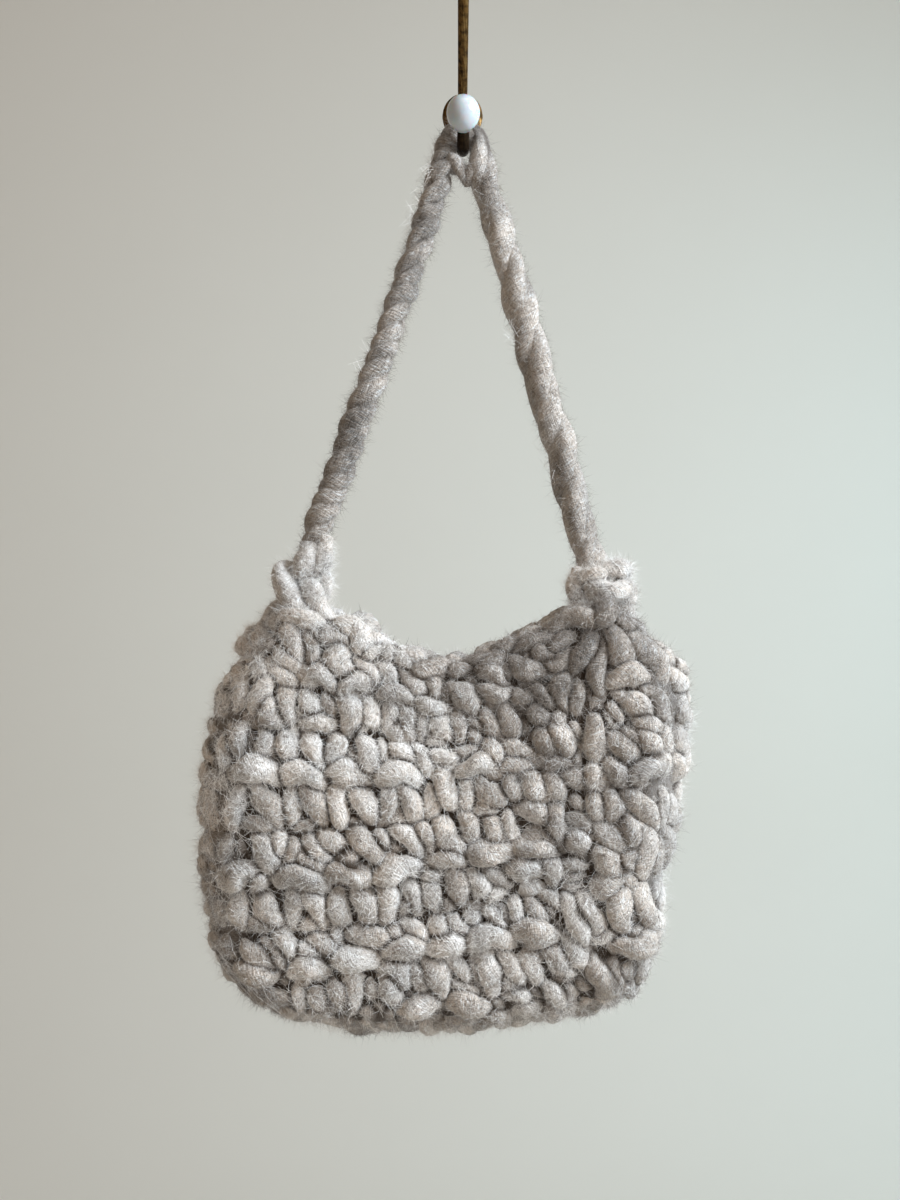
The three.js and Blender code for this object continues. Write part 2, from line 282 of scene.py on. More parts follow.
glaze = {"Coat Weight": 0.5, "Coat Roughness": 0.06, "IOR": 1.5}
china = {"Subsurface Weight": 0.6, "Subsurface Scale": 8 * MM}
porcelain, shader, place = new_material("porcelain", {**glaze, **china})
cloudy = place.noise(11 * MM, 3, 0.55).between(0.35, 0.75)
soiled = place.noise(2.4 * MM, 4, 0.65).between(0.60, 0.78)
white = cloudy.mix(WHITE_GLAZE, CLOUDED_GLAZE)
wire(shader, colour=(0.35 * soiled).mix(white, KNOB_SOIL), roughness=0.10 + 0.12 * cloudy)
ripple = place.noise(6 * MM, 2, 0.5)
wire(shader, normal=place.node("Bump", {}, {"Strength": 0.12, "Distance": 0.0004, "Height": ripple}))

egg = bmesh.new()
turned = through([(radius, along, 0) for radius, along in KNOB_PROFILE], KNOB_POINTS) * MM
rim = [egg.verts.new(co) for co in turned]
edges = [egg.edges.new(pair) for pair in zip(rim, rim[1:])]
bmesh.ops.spin(egg, geom=rim + edges, **turning)
bmesh.ops.remove_doubles(egg, verts=egg.verts, dist=WELD)
bmesh.ops.rotate(egg, verts=egg.verts, matrix=Matrix.Rotation(math.pi - KNOB_LEAN, 3, "X"))
bmesh.ops.translate(egg, verts=egg.verts, vec=KNOB_SEAT)
bmesh.ops.recalc_face_normals(egg, faces=egg.faces)
finished("knob_porcelain", egg, porcelain, "porcelain", "hook_knob")

# Cloth: one thick panel of turned crochet rows, folded at the bottom and joined up both sides into a hollow
# pouch. This is the body of the cloth under its raised strands, with the rounded rim and the inside.
WALL = 17 * MM
STITCHES_AROUND = 22
BANDS = 4
BAG_X = -12 * MM
BAG_Y = -47 * MM
# how much fuller the bag is in its middle, the bands that round into its fold, and where its inside ends
CROWN = 0.1
FOLD_ROUND = 0.35
INNER_FLOOR = 0.32
# how high the lip stands, and how many bands it takes to turn over
LIP_RISE = 7 * MM
LIP_ROWS = 0.38
# the cloth is gathered towards the two knots by this share, within this reach and from this band up
KNOT_X = (-104 * MM, 91 * MM)
GATHER = 0.35
GATHER_REACH = 34 * MM
GATHER_FROM = 3.2
# the courses are given at these shares of the width and at these bands up from the fold
STATIONS = np.array([0, 0.12, 0.27, 0.5, 0.73, 0.88, 1])
COURSE_BANDS = np.array([0, 0.5, 1, 2, 3, 4])
COURSES = MM * np.array([
    # left, right, half depth, then the height at each station from the left side to the right
    (-130, 108, 22, -581, -593, -599, -601, -595, -588, -575),
    (-152, 120, 27, -558, -566, -568, -562, -554, -548, -545),
    (-159, 124, 31, -534, -535, -532, -523, -509, -504, -508),
    (-165, 136, 35, -472, -471, -470, -462, -450, -443, -443),
    (-158, 139, 33, -400, -408, -412, -417, -406, -388, -386),
    (-137, 124, 27, -366, -341, -359, -376, -354, -338, -357),
])
# how far the cloth is knobbly, its knobbles in a stitch and in a band, and the bands over which they fade in
# from its inner end and out at its fold
KNOBBLE = 2.0 * MM
KNOBBLES = (2, 3)
INNER_FADE = (0.02, 0.2)
FOLD_FADE = (0.0, 0.1)
# how far the cloth is filled out, outside and down to these rows of the inside
FILLED = 0.5 * MM
FILLED_ROWS = (-2.4, -1.8)
CLOTH_COLUMNS = 176
CLOTH_ROWS = 120
CLOTH_WELD = 1e-5
# painted light of the cloth between its strands, low on the front as the shade there, and what the back and
# the sides add
FRONT_LIGHT = 0.05
BACK_LIGHT = 0.34
SIDE_LIGHT = 0.25
TURN_BACK = 22 * MM
SIDES_FROM, SIDES_TO = 114 * MM, 136 * MM


def shares(stations, at):
    """How much each station counts at the given places on a smooth curve through them."""
    last = len(stations) - 1
    i = np.clip(np.searchsorted(stations, at, side="left") - 1, 0, last - 1)
    span = stations[i + 1] - stations[i]
    t = (at - stations[i]) / span
    rest = 1 - t
    counts = np.zeros((len(at), last + 1))
    rows = np.arange(len(at))
    np.add.at(counts, (rows, i), rest * rest * (1 + 2 * t))
    np.add.at(counts, (rows, i + 1), t * t * (3 - 2 * t))
    for k, pull in ((i, span * t * rest * rest), (i + 1, -span * t * rest * t)):
        before, after = np.maximum(k - 1, 0), np.minimum(k + 1, last)
        slope = pull / (stations[after] - stations[before])
        np.add.at(counts, (rows, after), slope)
        np.add.at(counts, (rows, before), -slope)
    return counts


def quarter_round(t):
    return np.sqrt(1 - (1 - np.clip(t, 0, 1)) ** 2)


def smoothstep(low, high, value):
    t = np.clip((value - low) / (high - low), 0, 1)
    return t * t * (3 - 2 * t)


def cloth_at(stitch, row):
    """Places on the cloth and the way out of it there. stitch counts columns round the bag from its left side
    along the front, and row counts bands down from the rim. Above the rim, row goes over the lip and down the
    inside."""
    around = (stitch / STITCHES_AROUND) % 1.0
    over = np.clip(-row / LIP_ROWS, 0, 1) * math.pi
    inset = (1 - np.cos(over)) / 2 * WALL
    band = np.where(row >= 0, BANDS - row, BANDS + np.minimum(row + LIP_ROWS, 0))
    floor = np.where(row < -LIP_ROWS, INNER_FLOOR, 0)
    course = shares(COURSE_BANDS, band) @ COURSES
    left, right = course[:, 0], course[:, 1]
    half = (right - left) / 2 - inset
    depth = (course[:, 2] - inset) * quarter_round((band - floor) / FOLD_ROUND)
    facing = np.where(around <= 0.5, -1.0, 1.0)
    flat = 2 * (half - depth)
    quarter = math.pi / 2 * depth
    along = np.minimum(around, 1 - around) * (2 * flat + 4 * quarter)
    safe = np.maximum(depth, 1e-9)
    turn_left = np.clip(along / safe, 0, math.pi / 2)
    turn_right = np.clip((along - quarter - flat) / safe, 0, math.pi / 2)
    on_left, on_right = along < quarter, along > quarter + flat
    x = np.where(on_left, -flat / 2 - depth * np.cos(turn_left), along - quarter - flat / 2)
    x = np.where(on_right, flat / 2 + depth * np.sin(turn_right), x)
    y = np.where(on_left, depth * np.sin(turn_left), np.where(on_right, depth * np.cos(turn_right), depth))
    out_x = np.where(on_left, -np.cos(turn_left), np.where(on_right, np.sin(turn_right), 0))
    out_y = facing * np.where(on_left, np.sin(turn_left), np.where(on_right, np.cos(turn_right), 1))
    share = x / half
    z = np.sum(shares(STATIONS, (share + 1) / 2) * course[:, 3:], axis=1) + LIP_RISE * np.sin(over)
    y = y * (1 + CROWN * (1 - share * share))
    x = x + (left + right) / 2
    pull = GATHER * smoothstep(GATHER_FROM, BANDS, band)
    for knot in KNOT_X:
        x = x - pull * (x - knot) * np.exp(-(((x - knot) / GATHER_REACH) ** 2))
    level = quarter_round(band / FOLD_ROUND)
    down = -np.sqrt(1 - level * level)
    side = np.stack([out_x * level, out_y * level, down], axis=1)
    out = side * np.cos(over)[:, None] + np.array([0, 0, 1.0]) * np.sin(over)[:, None]
    return np.stack([x, BAG_Y + facing * y, z], axis=1), unit(out)


def behind(places):
    """0 on the front of the bag, rising to 1 at the middle of its sides and on its back."""
    return smoothstep(-TURN_BACK, 0, places[:, 1] - BAG_Y)


WOOL_SHEEN = {"Sheen Weight": 0.40, "Sheen Roughness": 0.45, "Sheen Tint": (1.0, 0.98, 0.95, 1)}
HAIR_DARK = (0.145, 0.112, 0.086, 1)
WOOL_GREY = (0.600, 0.560, 0.530, 1)
WOOL_SAND = (0.650, 0.562, 0.490, 1)
HAIR_WHITE = (0.930, 0.925, 0.915, 1)
# the dark brown painted where shade falls between and under the strands
CREVICE_SHADE = (0.032, 0.018, 0.009, 1)


def wool_material(name):
    """Heathered wool: grey and sand fleece, matted and mottled, with short dark and white hairs wound over
    it, and painted shade in dark brown where the strands dip down or press on one another."""
    material, principled, spot = new_material(name, {**WOOL_SHEEN, "Specular IOR Level": 0.15})
    yarn = spot.node("UVMap", {"uv_map": "yarn"})
    tone = spot.node("Attribute", {"attribute_name": "tone"}, output=2)
    painted_light = spot.node("Attribute", {"attribute_name": "painted_light"}, output=2)
    fleece = spot.noise(40 * MM, 3, 0.55).between(0.38, 0.64)
    patch = spot.noise(30 * MM, 2, 0.5).between(0.34, 0.66)
    mottle = spot.noise(5.5 * MM, 3, 0.62).between(0.30, 0.70)
    wound = yarn.noise((0.7 * MM, 8 * MM, 1), 2, 0.6, turn=0.25).between(0.30, 0.70)
    grain = yarn.noise((9 * MM, 0.8 * MM, 1), 2, 0.6, turn=0.35).between(0.30, 0.70)
    dark = yarn.noise((8 * MM, 0.65 * MM, 1), 1, 0.5, turn=0.6).between(0.56, 0.66)
    dark = dark + yarn.noise((0.65 * MM, 7 * MM, 1), 1, 0.5, turn=-0.4).between(0.57, 0.67)
    light = yarn.noise((9 * MM, 0.65 * MM, 1), 1, 0.5, turn=-0.5).between(0.56, 0.66)
    light = light + yarn.noise((0.65 * MM, 9 * MM, 1), 1, 0.5, turn=0.5).between(0.55, 0.65)
    # a lower tone turns the fleece towards sand, which warms the darker yarn and the painted shade that the
    # tones carry
    body = (fleece + 1.3 * (0.5 - tone)).mix(WOOL_GREY, WOOL_SAND)
    body = (0.50 * dark).mix(body, HAIR_DARK)
    body = (0.55 * light).mix(body, HAIR_WHITE)
    value = 0.15 + 0.62 * tone + 0.36 * patch + 0.11 * mottle + 0.24 * wound + 0.18 * grain
    body = spot.node("HueSaturation", {}, {"Color": body, "Value": value})
    # painted shade: the wool goes over to dark brown where its painted light is low
    wire(principled, colour=painted_light.between(0.0, 0.80).mix(CREVICE_SHADE, body), roughness=0.80 + 0.15 * grain)
    height = 0.7 * grain + 1.1 * wound + 0.9 * mottle
    wire(principled, normal=spot.node("Bump", {}, {"Strength": 0.6, "Distance": 0.0009, "Height": height}))
    return material


wool = wool_material("wool")


def wool_piece(name, mesh, uv, painted_light, tone, *nodes):
    """A piece of yarn with its own map along and across the strand and its two values for the wool."""
    layer = mesh.uv_layers.new(name="yarn")
    layer.data.foreach_set("uv", np.asarray(uv, np.float32).ravel())
    for key, values in (("painted_light", painted_light), ("tone", tone)):
        attribute = mesh.attributes.new(key, "FLOAT", "POINT")
        attribute.data.foreach_set("value", np.asarray(values, np.float32).ravel())
    mesh.shade_smooth()
    return placed(bpy.data.objects.new(name, mesh), wool, "wool", *nodes)


inner_end = -(LIP_ROWS + BANDS - INNER_FLOOR)
panel = bmesh.new()
bmesh.ops.create_grid(panel, x_segments=CLOTH_COLUMNS, y_segments=CLOTH_ROWS, size=0.5)
flat = np.array([vert.co for vert in panel.verts])
stitch = np.round((flat[:, 0] + 0.5) * CLOTH_COLUMNS) / CLOTH_COLUMNS * STITCHES_AROUND
row = inner_end + (flat[:, 1] + 0.5) * (BANDS - inner_end)
place, out = cloth_at(stitch, row)
filled = FILLED * smoothstep(*FILLED_ROWS, row)
a_stitch, a_band = KNOBBLES
knobbly = np.abs(np.sin(math.pi * stitch * a_stitch)) * np.abs(np.sin(math.pi * row * a_band)) * KNOBBLE
raised = knobbly * smoothstep(*INNER_FADE, row - inner_end) * smoothstep(*FOLD_FADE, BANDS - row) + filled
for vert, co in zip(panel.verts, place + out * raised[:, None]):
    vert.co = co
bmesh.ops.remove_doubles(panel, verts=panel.verts, dist=CLOTH_WELD)
bmesh.ops.recalc_face_normals(panel, faces=panel.faces)
cloth_mesh = bpy.data.meshes.new("bag_cloth")
panel.to_mesh(cloth_mesh)
panel.free()
corner = np.zeros(len(cloth_mesh.loops), np.int32)
cloth_mesh.loops.foreach_get("vertex_index", corner)
spots = np.zeros(len(cloth_mesh.vertices) * 3)
cloth_mesh.vertices.foreach_get("co", spots)
spots = spots.reshape(-1, 3)
uv = np.stack([spots[corner, 0] + spots[corner, 1], spots[corner, 2]], axis=1)
# painted shade: the cloth between the strands is painted dark on the front, and lighter round the sides and
# back
hollow = FRONT_LIGHT + BACK_LIGHT * behind(spots)
hollow += SIDE_LIGHT * smoothstep(SIDES_FROM, SIDES_TO, np.abs(spots[:, 0] - BAG_X))
cloth = wool_piece("bag_cloth", cloth_mesh, uv, hollow, np.full(len(spots), 0.5), "bag_body")

# Stitches: the raised strands of each crochet stitch, unspun roving that swells between the places where it
# dives into the cloth. In each band, leaning legs meet under an arched bar, and shorter legs close the band.
LEVELS = {
    # how far a strand's ends run on under its neighbours and how full it is, both in widths that show,
    # then its lift in millimetres and how many pixels its middle is drawn up
    "low": (0.62, 1.25, -2.5, 0),
    "plain": (0.56, 1.17, 0.8, 0),
    "bar": (0.34, 1.17, 3.4, 3),
    "high": (0.26, 1.10, 5.2, 0),
}
FRONT_STRANDS = {
    # read off in pixels of the picture: both ends of a strand and its width, then the bow of its middle
    "low": [
        (265, 622, 245, 635, 14), (272, 622, 284, 630, 13), (232, 648, 238, 662, 14),
        (318, 668, 332, 684, 15), (394, 668, 403, 684, 10), (250, 742, 262, 762, 14),
        (312, 736, 330, 764, 12), (364, 716, 371, 728, 10), (395, 724, 401, 738, 14),
        (345, 750, 360, 766, 13), (394, 756, 404, 772, 12), (513, 654, 538, 652, 13),
        (512, 684, 546, 680, 14), (484, 684, 500, 690, 12), (520, 704, 526, 720, 16),
        (520, 726, 528, 744, 14), (558, 618, 594, 609, 12), (568, 664, 586, 668, 12),
        (590, 682, 588, 704, 13), (640, 684, 652, 694, 14), (483, 750, 496, 768, 14),
        (500, 752, 512, 762, 12), (436, 814, 456, 810, 14), (478, 832, 500, 850, 12),
        (524, 824, 536, 840, 14), (572, 726, 584, 738, 15), (577, 740, 579, 768, 15),
        (604, 786, 622, 784, 12), (570, 794, 579, 816, 16), (648, 756, 664, 758, 14),
        (239, 838, 240, 862, 13), (241, 852, 266, 872, 14), (269, 876, 272, 892, 11),
        (213, 838, 216, 862, 11), (346, 832, 352, 843, 12), (388, 842, 400, 860, 14),
        (436, 828, 440, 850, 12), (352, 914, 364, 919, 12), (430, 884, 440, 880, 12),
        (512, 887, 548, 885, 14), (546, 906, 553, 922, 14), (592, 898, 606, 894, 12),
        (606, 904, 608, 926, 16), (556, 912, 560, 934, 12), (238, 990, 256, 1002, 14),
        (280, 968, 290, 982, 14), (343, 931, 361, 949, 14), (424, 914, 421, 936, 12),
        (364, 982, 378, 1000, 16), (404, 990, 424, 996, 14), (545, 960, 545, 978, 12),
        (488, 998, 500, 1016, 16), (624, 964, 634, 986, 16), (588, 948, 611, 957, 14),
        (574, 962, 586, 970, 16), (578, 976, 586, 992, 14), (466, 672, 478, 690, 13),
        (546, 752, 560, 758, 13), (312, 1024, 340, 1024, 14), (396, 1024, 420, 1027, 15),
        (424, 1022, 446, 1024, 15), (622, 1002, 636, 1006, 14), (225, 795, 232, 812, 12),
        (650, 795, 660, 806, 12), (634, 900, 642, 930, 12), (452, 940, 462, 955, 12),
        (556, 972, 570, 980, 16), (534, 984, 548, 996, 16), (222, 720, 232, 750, 17),
        (244, 726, 256, 752, 16), (515, 713, 535, 742, 17), (600, 735, 606, 755, 15),
        (330, 742, 346, 756, 14),
    ],
    "plain": [
        (256, 634, 270, 652, 18), (282, 628, 300, 662, 19), (303, 632, 317, 664, 17),
        (310, 629, 325, 645, 14), (276, 648, 298, 674, 16), (258, 660, 258, 682, 15),
        (266, 670, 298, 684, 16), (228, 664, 250, 668, 18), (244, 634, 246, 656, 14),
        (239, 684, 235, 712, 17), (322, 632, 340, 642, 17), (336, 650, 348, 682, 24),
        (364, 650, 380, 652, 13), (384, 658, 391, 642, 11), (392, 652, 410, 664, 13),
        (406, 650, 417, 660, 12), (424, 652, 437, 648, 12), (420, 666, 444, 668, 20),
        (361, 664, 374, 694, 18), (380, 662, 394, 692, 17), (406, 671, 422, 701, 18),
        (427, 676, 436, 700, 18), (224, 692, 221, 716, 15), (266, 686, 252, 712, 19),
        (284, 688, 291, 718, 18), (264, 706, 280, 722, 22), (304, 692, 314, 708, 18),
        (299, 714, 313, 712, 13), (246, 722, 234, 752, 16), (255, 731, 277, 768, 20),
        (222, 732, 221, 766, 14), (291, 728, 288, 764, 19), (303, 738, 326, 772, 19),
        (204, 774, 222, 782, 16), (243, 788, 230, 830, 20), (258, 790, 276, 820, 22),
        (293, 790, 289, 822, 15), (303, 790, 322, 822, 19), (208, 790, 210, 815, 18),
        (330, 696, 328, 714, 14), (346, 704, 354, 728, 23), (368, 702, 378, 728, 15),
        (350, 733, 370, 730, 14, 0, -3), (389, 705, 386, 730, 15), (405, 711, 414, 738, 16),
        (335, 734, 333, 764, 18), (358, 742, 378, 770, 22), (378, 738, 386, 768, 16),
        (392, 738, 414, 768, 17), (414, 742, 426, 770, 16), (340, 786, 337, 824, 20),
        (357, 790, 372, 822, 21), (387, 788, 385, 820, 17), (401, 790, 420, 822, 20),
        (430, 788, 428, 822, 16), (422, 716, 420, 738, 14), (428, 740, 446, 742, 15),
        (448, 672, 474, 660, 13), (470, 660, 484, 654, 12), (482, 666, 503, 652, 15),
        (500, 650, 520, 638, 14), (518, 646, 548, 636, 14), (482, 677, 508, 690, 16, 0, -7),
        (507, 660, 505, 688, 12), (515, 664, 541, 674, 18), (538, 646, 548, 660, 16),
        (452, 686, 472, 710, 25), (440, 684, 448, 704, 14), (512, 698, 534, 696, 14),
        (535, 692, 553, 702, 16), (485, 709, 491, 738, 17), (507, 708, 508, 738, 18),
        (536, 708, 543, 720, 16), (538, 722, 552, 750, 20), (456, 716, 461, 742, 16),
        (438, 716, 446, 738, 15), (466, 714, 486, 732, 13), (472, 730, 482, 744, 15),
        (484, 742, 499, 762, 17), (620, 610, 630, 629, 15), (634, 612, 646, 630, 13),
        (594, 633, 576, 670, 20), (601, 637, 598, 704, 18), (610, 633, 629, 668, 23),
        (634, 634, 655, 686, 24, 7, -6), (613, 678, 643, 677, 21), (550, 645, 568, 640, 15),
        (549, 664, 568, 660, 18), (561, 675, 563, 710, 18), (577, 681, 578, 712, 14),
        (619, 690, 646, 718, 20), (651, 690, 671, 718, 18), (592, 714, 608, 706, 14),
        (612, 700, 616, 722, 14), (430, 760, 453, 757, 17), (441, 772, 455, 806, 20),
        (464, 780, 468, 808, 15), (446, 754, 482, 752, 13), (482, 783, 501, 804, 21),
        (509, 775, 516, 803, 15), (526, 778, 542, 796, 20), (498, 768, 530, 766, 15),
        (504, 742, 531, 757, 16), (470, 813, 496, 811, 17), (462, 814, 474, 843, 17),
        (438, 826, 458, 850, 22), (486, 820, 508, 847, 17), (504, 812, 515, 838, 14),
        (518, 802, 551, 826, 21), (545, 830, 556, 850, 16), (556, 712, 566, 754, 21),
        (592, 716, 602, 761, 21), (611, 733, 634, 764, 22), (626, 730, 639, 752, 13),
        (639, 712, 655, 728, 18), (644, 732, 652, 760, 21), (664, 718, 667, 757, 16),
        (604, 764, 627, 777, 20), (592, 766, 597, 790, 17), (564, 774, 585, 786, 17),
        (550, 776, 555, 806, 19), (590, 794, 602, 818, 18), (608, 794, 619, 815, 19),
        (630, 790, 655, 826, 20), (663, 792, 667, 822, 17), (555, 812, 562, 846, 21),
        (572, 817, 592, 832, 14), (602, 828, 617, 848, 25), (625, 818, 632, 846, 19),
        (606, 714, 616, 728, 13), (245, 826, 271, 822, 18), (293, 828, 314, 823, 14),
        (277, 828, 283, 852, 16), (225, 836, 226, 866, 14), (257, 839, 274, 866, 22),
        (292, 842, 292, 868, 15), (297, 848, 322, 871, 18), (299, 838, 326, 858, 18),
        (253, 877, 264, 892, 16), (238, 899, 240, 926, 18), (259, 897, 277, 921, 22),
        (290, 897, 297, 922, 16), (305, 896, 325, 920, 20), (205, 830, 208, 858, 14),
        (208, 872, 212, 895, 14), (216, 900, 220, 927, 15), (341, 824, 368, 820, 12),
        (386, 820, 408, 818, 14), (324, 828, 344, 852, 20), (356, 830, 378, 862, 23),
        (375, 828, 384, 852, 13), (343, 852, 363, 872, 22), (386, 829, 413, 860, 19, 7, -8),
        (417, 823, 428, 855, 18, 4, -2), (421, 870, 434, 868, 18), (337, 893, 341, 920, 20),
        (360, 896, 371, 918, 22), (380, 890, 391, 916, 23), (408, 887, 419, 908, 18),
        (398, 912, 413, 906, 13), (428, 881, 434, 908, 18), (513, 874, 535, 871, 26),
        (547, 864, 555, 882, 18), (452, 876, 463, 900, 20), (473, 874, 482, 898, 19),
        (485, 876, 507, 888, 14, 2, -6), (484, 896, 500, 892, 14), (440, 906, 460, 899, 14),
        (469, 904, 474, 928, 15), (484, 911, 509, 930, 18), (494, 901, 513, 927, 14),
        (511, 897, 520, 924, 17), (524, 895, 545, 917, 17), (536, 892, 556, 904, 17),
        (449, 913, 468, 938, 18), (435, 922, 461, 943, 21), (562, 866, 588, 862, 14),
        (563, 877, 586, 874, 12), (564, 888, 586, 885, 14), (572, 838, 584, 850, 21),
        (588, 853, 617, 867, 25), (626, 846, 632, 866, 17), (644, 832, 650, 874, 25),
        (659, 838, 663, 876, 14), (594, 884, 620, 879, 26), (615, 889, 626, 929, 21),
        (634, 884, 656, 924, 21), (566, 900, 582, 938, 22), (584, 898, 596, 932, 21),
        (590, 933, 618, 938, 13), (250, 926, 268, 922, 16), (300, 926, 318, 921, 14),
        (284, 931, 288, 958, 21), (260, 937, 281, 965, 18), (244, 943, 268, 967, 20),
        (308, 935, 333, 958, 20), (299, 947, 325, 963, 17), (224, 940, 231, 962, 15),
        (227, 958, 240, 974, 13), (252, 992, 294, 1005, 18), (298, 984, 304, 1013, 15),
        (316, 990, 326, 1012, 18), (331, 926, 336, 949, 15), (348, 925, 381, 944, 23),
        (388, 925, 410, 942, 18), (405, 918, 420, 939, 20), (335, 984, 346, 1011, 18),
        (350, 981, 354, 1010, 19), (385, 964, 402, 978, 21), (398, 980, 391, 1001, 22),
        (409, 966, 425, 988, 18), (431, 963, 440, 993, 22), (362, 1015, 389, 1014, 17),
        (482, 954, 485, 992, 21, 8, 0), (503, 955, 519, 980, 19), (530, 955, 534, 980, 18),
        (550, 952, 567, 967, 20), (450, 963, 471, 978, 16), (448, 981, 478, 992, 16),
        (472, 968, 477, 984, 13), (502, 979, 518, 988, 15), (508, 995, 528, 996, 16),
        (545, 988, 562, 1002, 20), (512, 1010, 538, 1010, 18), (640, 962, 650, 985, 19),
        (568, 944, 583, 960, 21), (596, 964, 608, 1000, 25), (562, 986, 572, 1006, 19),
        (612, 962, 618, 992, 16), (624, 992, 642, 1001, 18), (572, 1013, 592, 1014, 17),
        (600, 1004, 620, 1004, 16), (548, 767, 570, 763, 14), (242, 1000, 266, 1012, 15),
        (268, 1012, 292, 1018, 14), (312, 1008, 336, 1011, 17), (350, 1022, 370, 1036, 22),
        (377, 1010, 388, 1026, 18), (450, 1022, 478, 1021, 16), (484, 1016, 506, 1021, 18),
        (544, 1010, 562, 1014, 17), (628, 940, 640, 932, 16),
    ],
    "bar": [
        (301, 727, 334, 726, 16), (236, 776, 279, 784, 24, 0, -7), (283, 782, 323, 786, 21, 0, -8),
        (301, 702, 336, 700, 17, 0, -24), (340, 700, 374, 698, 17, 0, -14), (378, 704, 411, 712, 15, 0, -14),
        (329, 782, 368, 788, 21, 0, -12), (376, 782, 412, 784, 22, 0, -8), (412, 706, 446, 708, 17),
        (478, 695, 512, 695, 16), (553, 630, 598, 628, 17, 0, -7), (457, 772, 494, 771, 18, 0, -3),
        (466, 861, 510, 859, 24, 0, -5), (430, 865, 462, 864, 18, 0, -3), (511, 852, 554, 856, 18, 0, -5),
        (634, 779, 670, 771, 27, 0, -4), (219, 884, 252, 879, 24, 0, -4), (277, 884, 323, 884, 22, 0, -4),
        (327, 880, 368, 880, 23, 0, -4), (371, 879, 417, 872, 24, 0, -4), (430, 949, 468, 950, 22, 0, -3),
        (468, 945, 511, 944, 22, 0, -5), (511, 940, 554, 936, 26, 0, -4), (619, 948, 656, 944, 25),
        (233, 980, 278, 977, 20, 0, -3), (294, 975, 326, 975, 22, 0, -4), (331, 963, 377, 964, 25, 0, -4),
        (380, 953, 420, 952, 24, 0, -4), (400, 1011, 440, 1005, 22), (450, 1005, 485, 1007, 24),
    ],
    "high": [
        (344, 622, 364, 644, 27), (606, 605, 603, 624, 17),
    ],
}
# of what is over a full thickness, only this share counts, since a fat strand lies flatter than it shows
FULL = 15.5 * MM
FULLER = 0.55
# the cloth that shows from the front: its stitches and rows as from, to and step, the most that it may turn
# away, and how far the yarn stands off it
FRONT_STITCHES = (-0.4, 11.41, 0.02)
FRONT_ROWS = (-0.14, 4.01, 0.01)
FRONT_FACING = 0.05
FACE_HEIGHT = 4 * MM
# the usual size of a stitch and a band in pixels, and how much a strand's ends are held near its middle
STITCH_PX = 38
BAND_PX = 100
HELD = 0.06
SHADES = [
    # stitch, row, how many stitches and rows it spans, and how much lighter the fleece is there: partly its
    # own tone, and partly painted light and shade of the bag's broad form
    (8.5, 0.30, 1.9, 0.6, -0.64), (9.9, 1.3, 1.2, 0.9, -0.16), (9.8, 3.75, 1.3, 0.3, -0.40),
    (3.0, 4.0, 4.0, 0.30, -0.62), (7.0, 0.75, 1.2, 0.6, -0.32), (4.8, 1.3, 1.6, 0.6, 0.28),
    (0.7, 2.6, 1.2, 1.6, -0.18), (3.6, 3.35, 1.3, 0.3, 0.28), (8.4, 2.35, 1.8, 0.4, -0.24),
    (7.6, 1.6, 0.9, 0.35, -0.32), (1.0, 1.4, 1.2, 0.3, 0.18), (5.6, 0.0, 1.2, 0.35, -0.44),
    (3.6, 0.3, 1.2, 0.4, 0.06), (6.4, 3.3, 0.7, 0.25, 0.22), (1.3, 3.35, 0.8, 0.5, -0.24),
    (9.6, 2.5, 0.9, 0.7, -0.14),
]
# the tones between which strands differ
TONES = (0.36, 0.64)
# where yarn is pressed flat, and how many rings along it and sides round it a strand has
PRESSED = -0.6 * MM
RINGS = 15
SIDES = 14
# of the radius: lumps round the yarn and along it, the least and most depth of a crease, and how far the ends
# stick out; the crease is this wide in radians
LUMPS = (0.070, 0.075, 0.095)
CREASE = (0.02, 0.20)
NOSE = 0.55
CREASE_WIDTH = 0.6
# how many strands press on a strand from beside it, and the gaps to them between which its painted shade
# fades out
NEIGHBOURS = 10
NESTLED = (-2.2 * MM, 4.3 * MM)
# of the thickness: how far a strand wanders and tilts, and how deep its ends dive
WANDER = 0.14
TILT = 0.18
DIVE = 0.50
# how thick a strand is at its ends, how much thicker in its middle, and how high it is for its width
THIN_END = 0.34
SWELL = 0.72
FLATNESS = 0.94
# how much strands differ in height, the groove between two bands, the rows that have grooves, and the heights
# over the cloth between which a strand's painted shade fades out
UNEVEN = 0.8 * MM
GROOVE = 3.3 * MM
GROOVE_ROWS = 0.09
GROOVES_FROM, GROOVES_TO = 0.5, 3.6
STANDS = (-3.5 * MM, 5.0 * MM)
# strands lifted more than this arch less steeply at their ends
ARCHED_LIFT = 2 * MM


def seen_at(places):
    """Where places show in the picture, in its pixels, and how far from the viewpoint they are."""
    away = places - np.array(viewpoint.location)
    across = FRAME_WIDTH_PX / 2 + away[:, 0] / away[:, 1] * FOCAL_PX
    return np.stack([across, FRAME_HEIGHT_PX / 2 - away[:, 2] / away[:, 1] * FOCAL_PX], axis=1), away[:, 1]


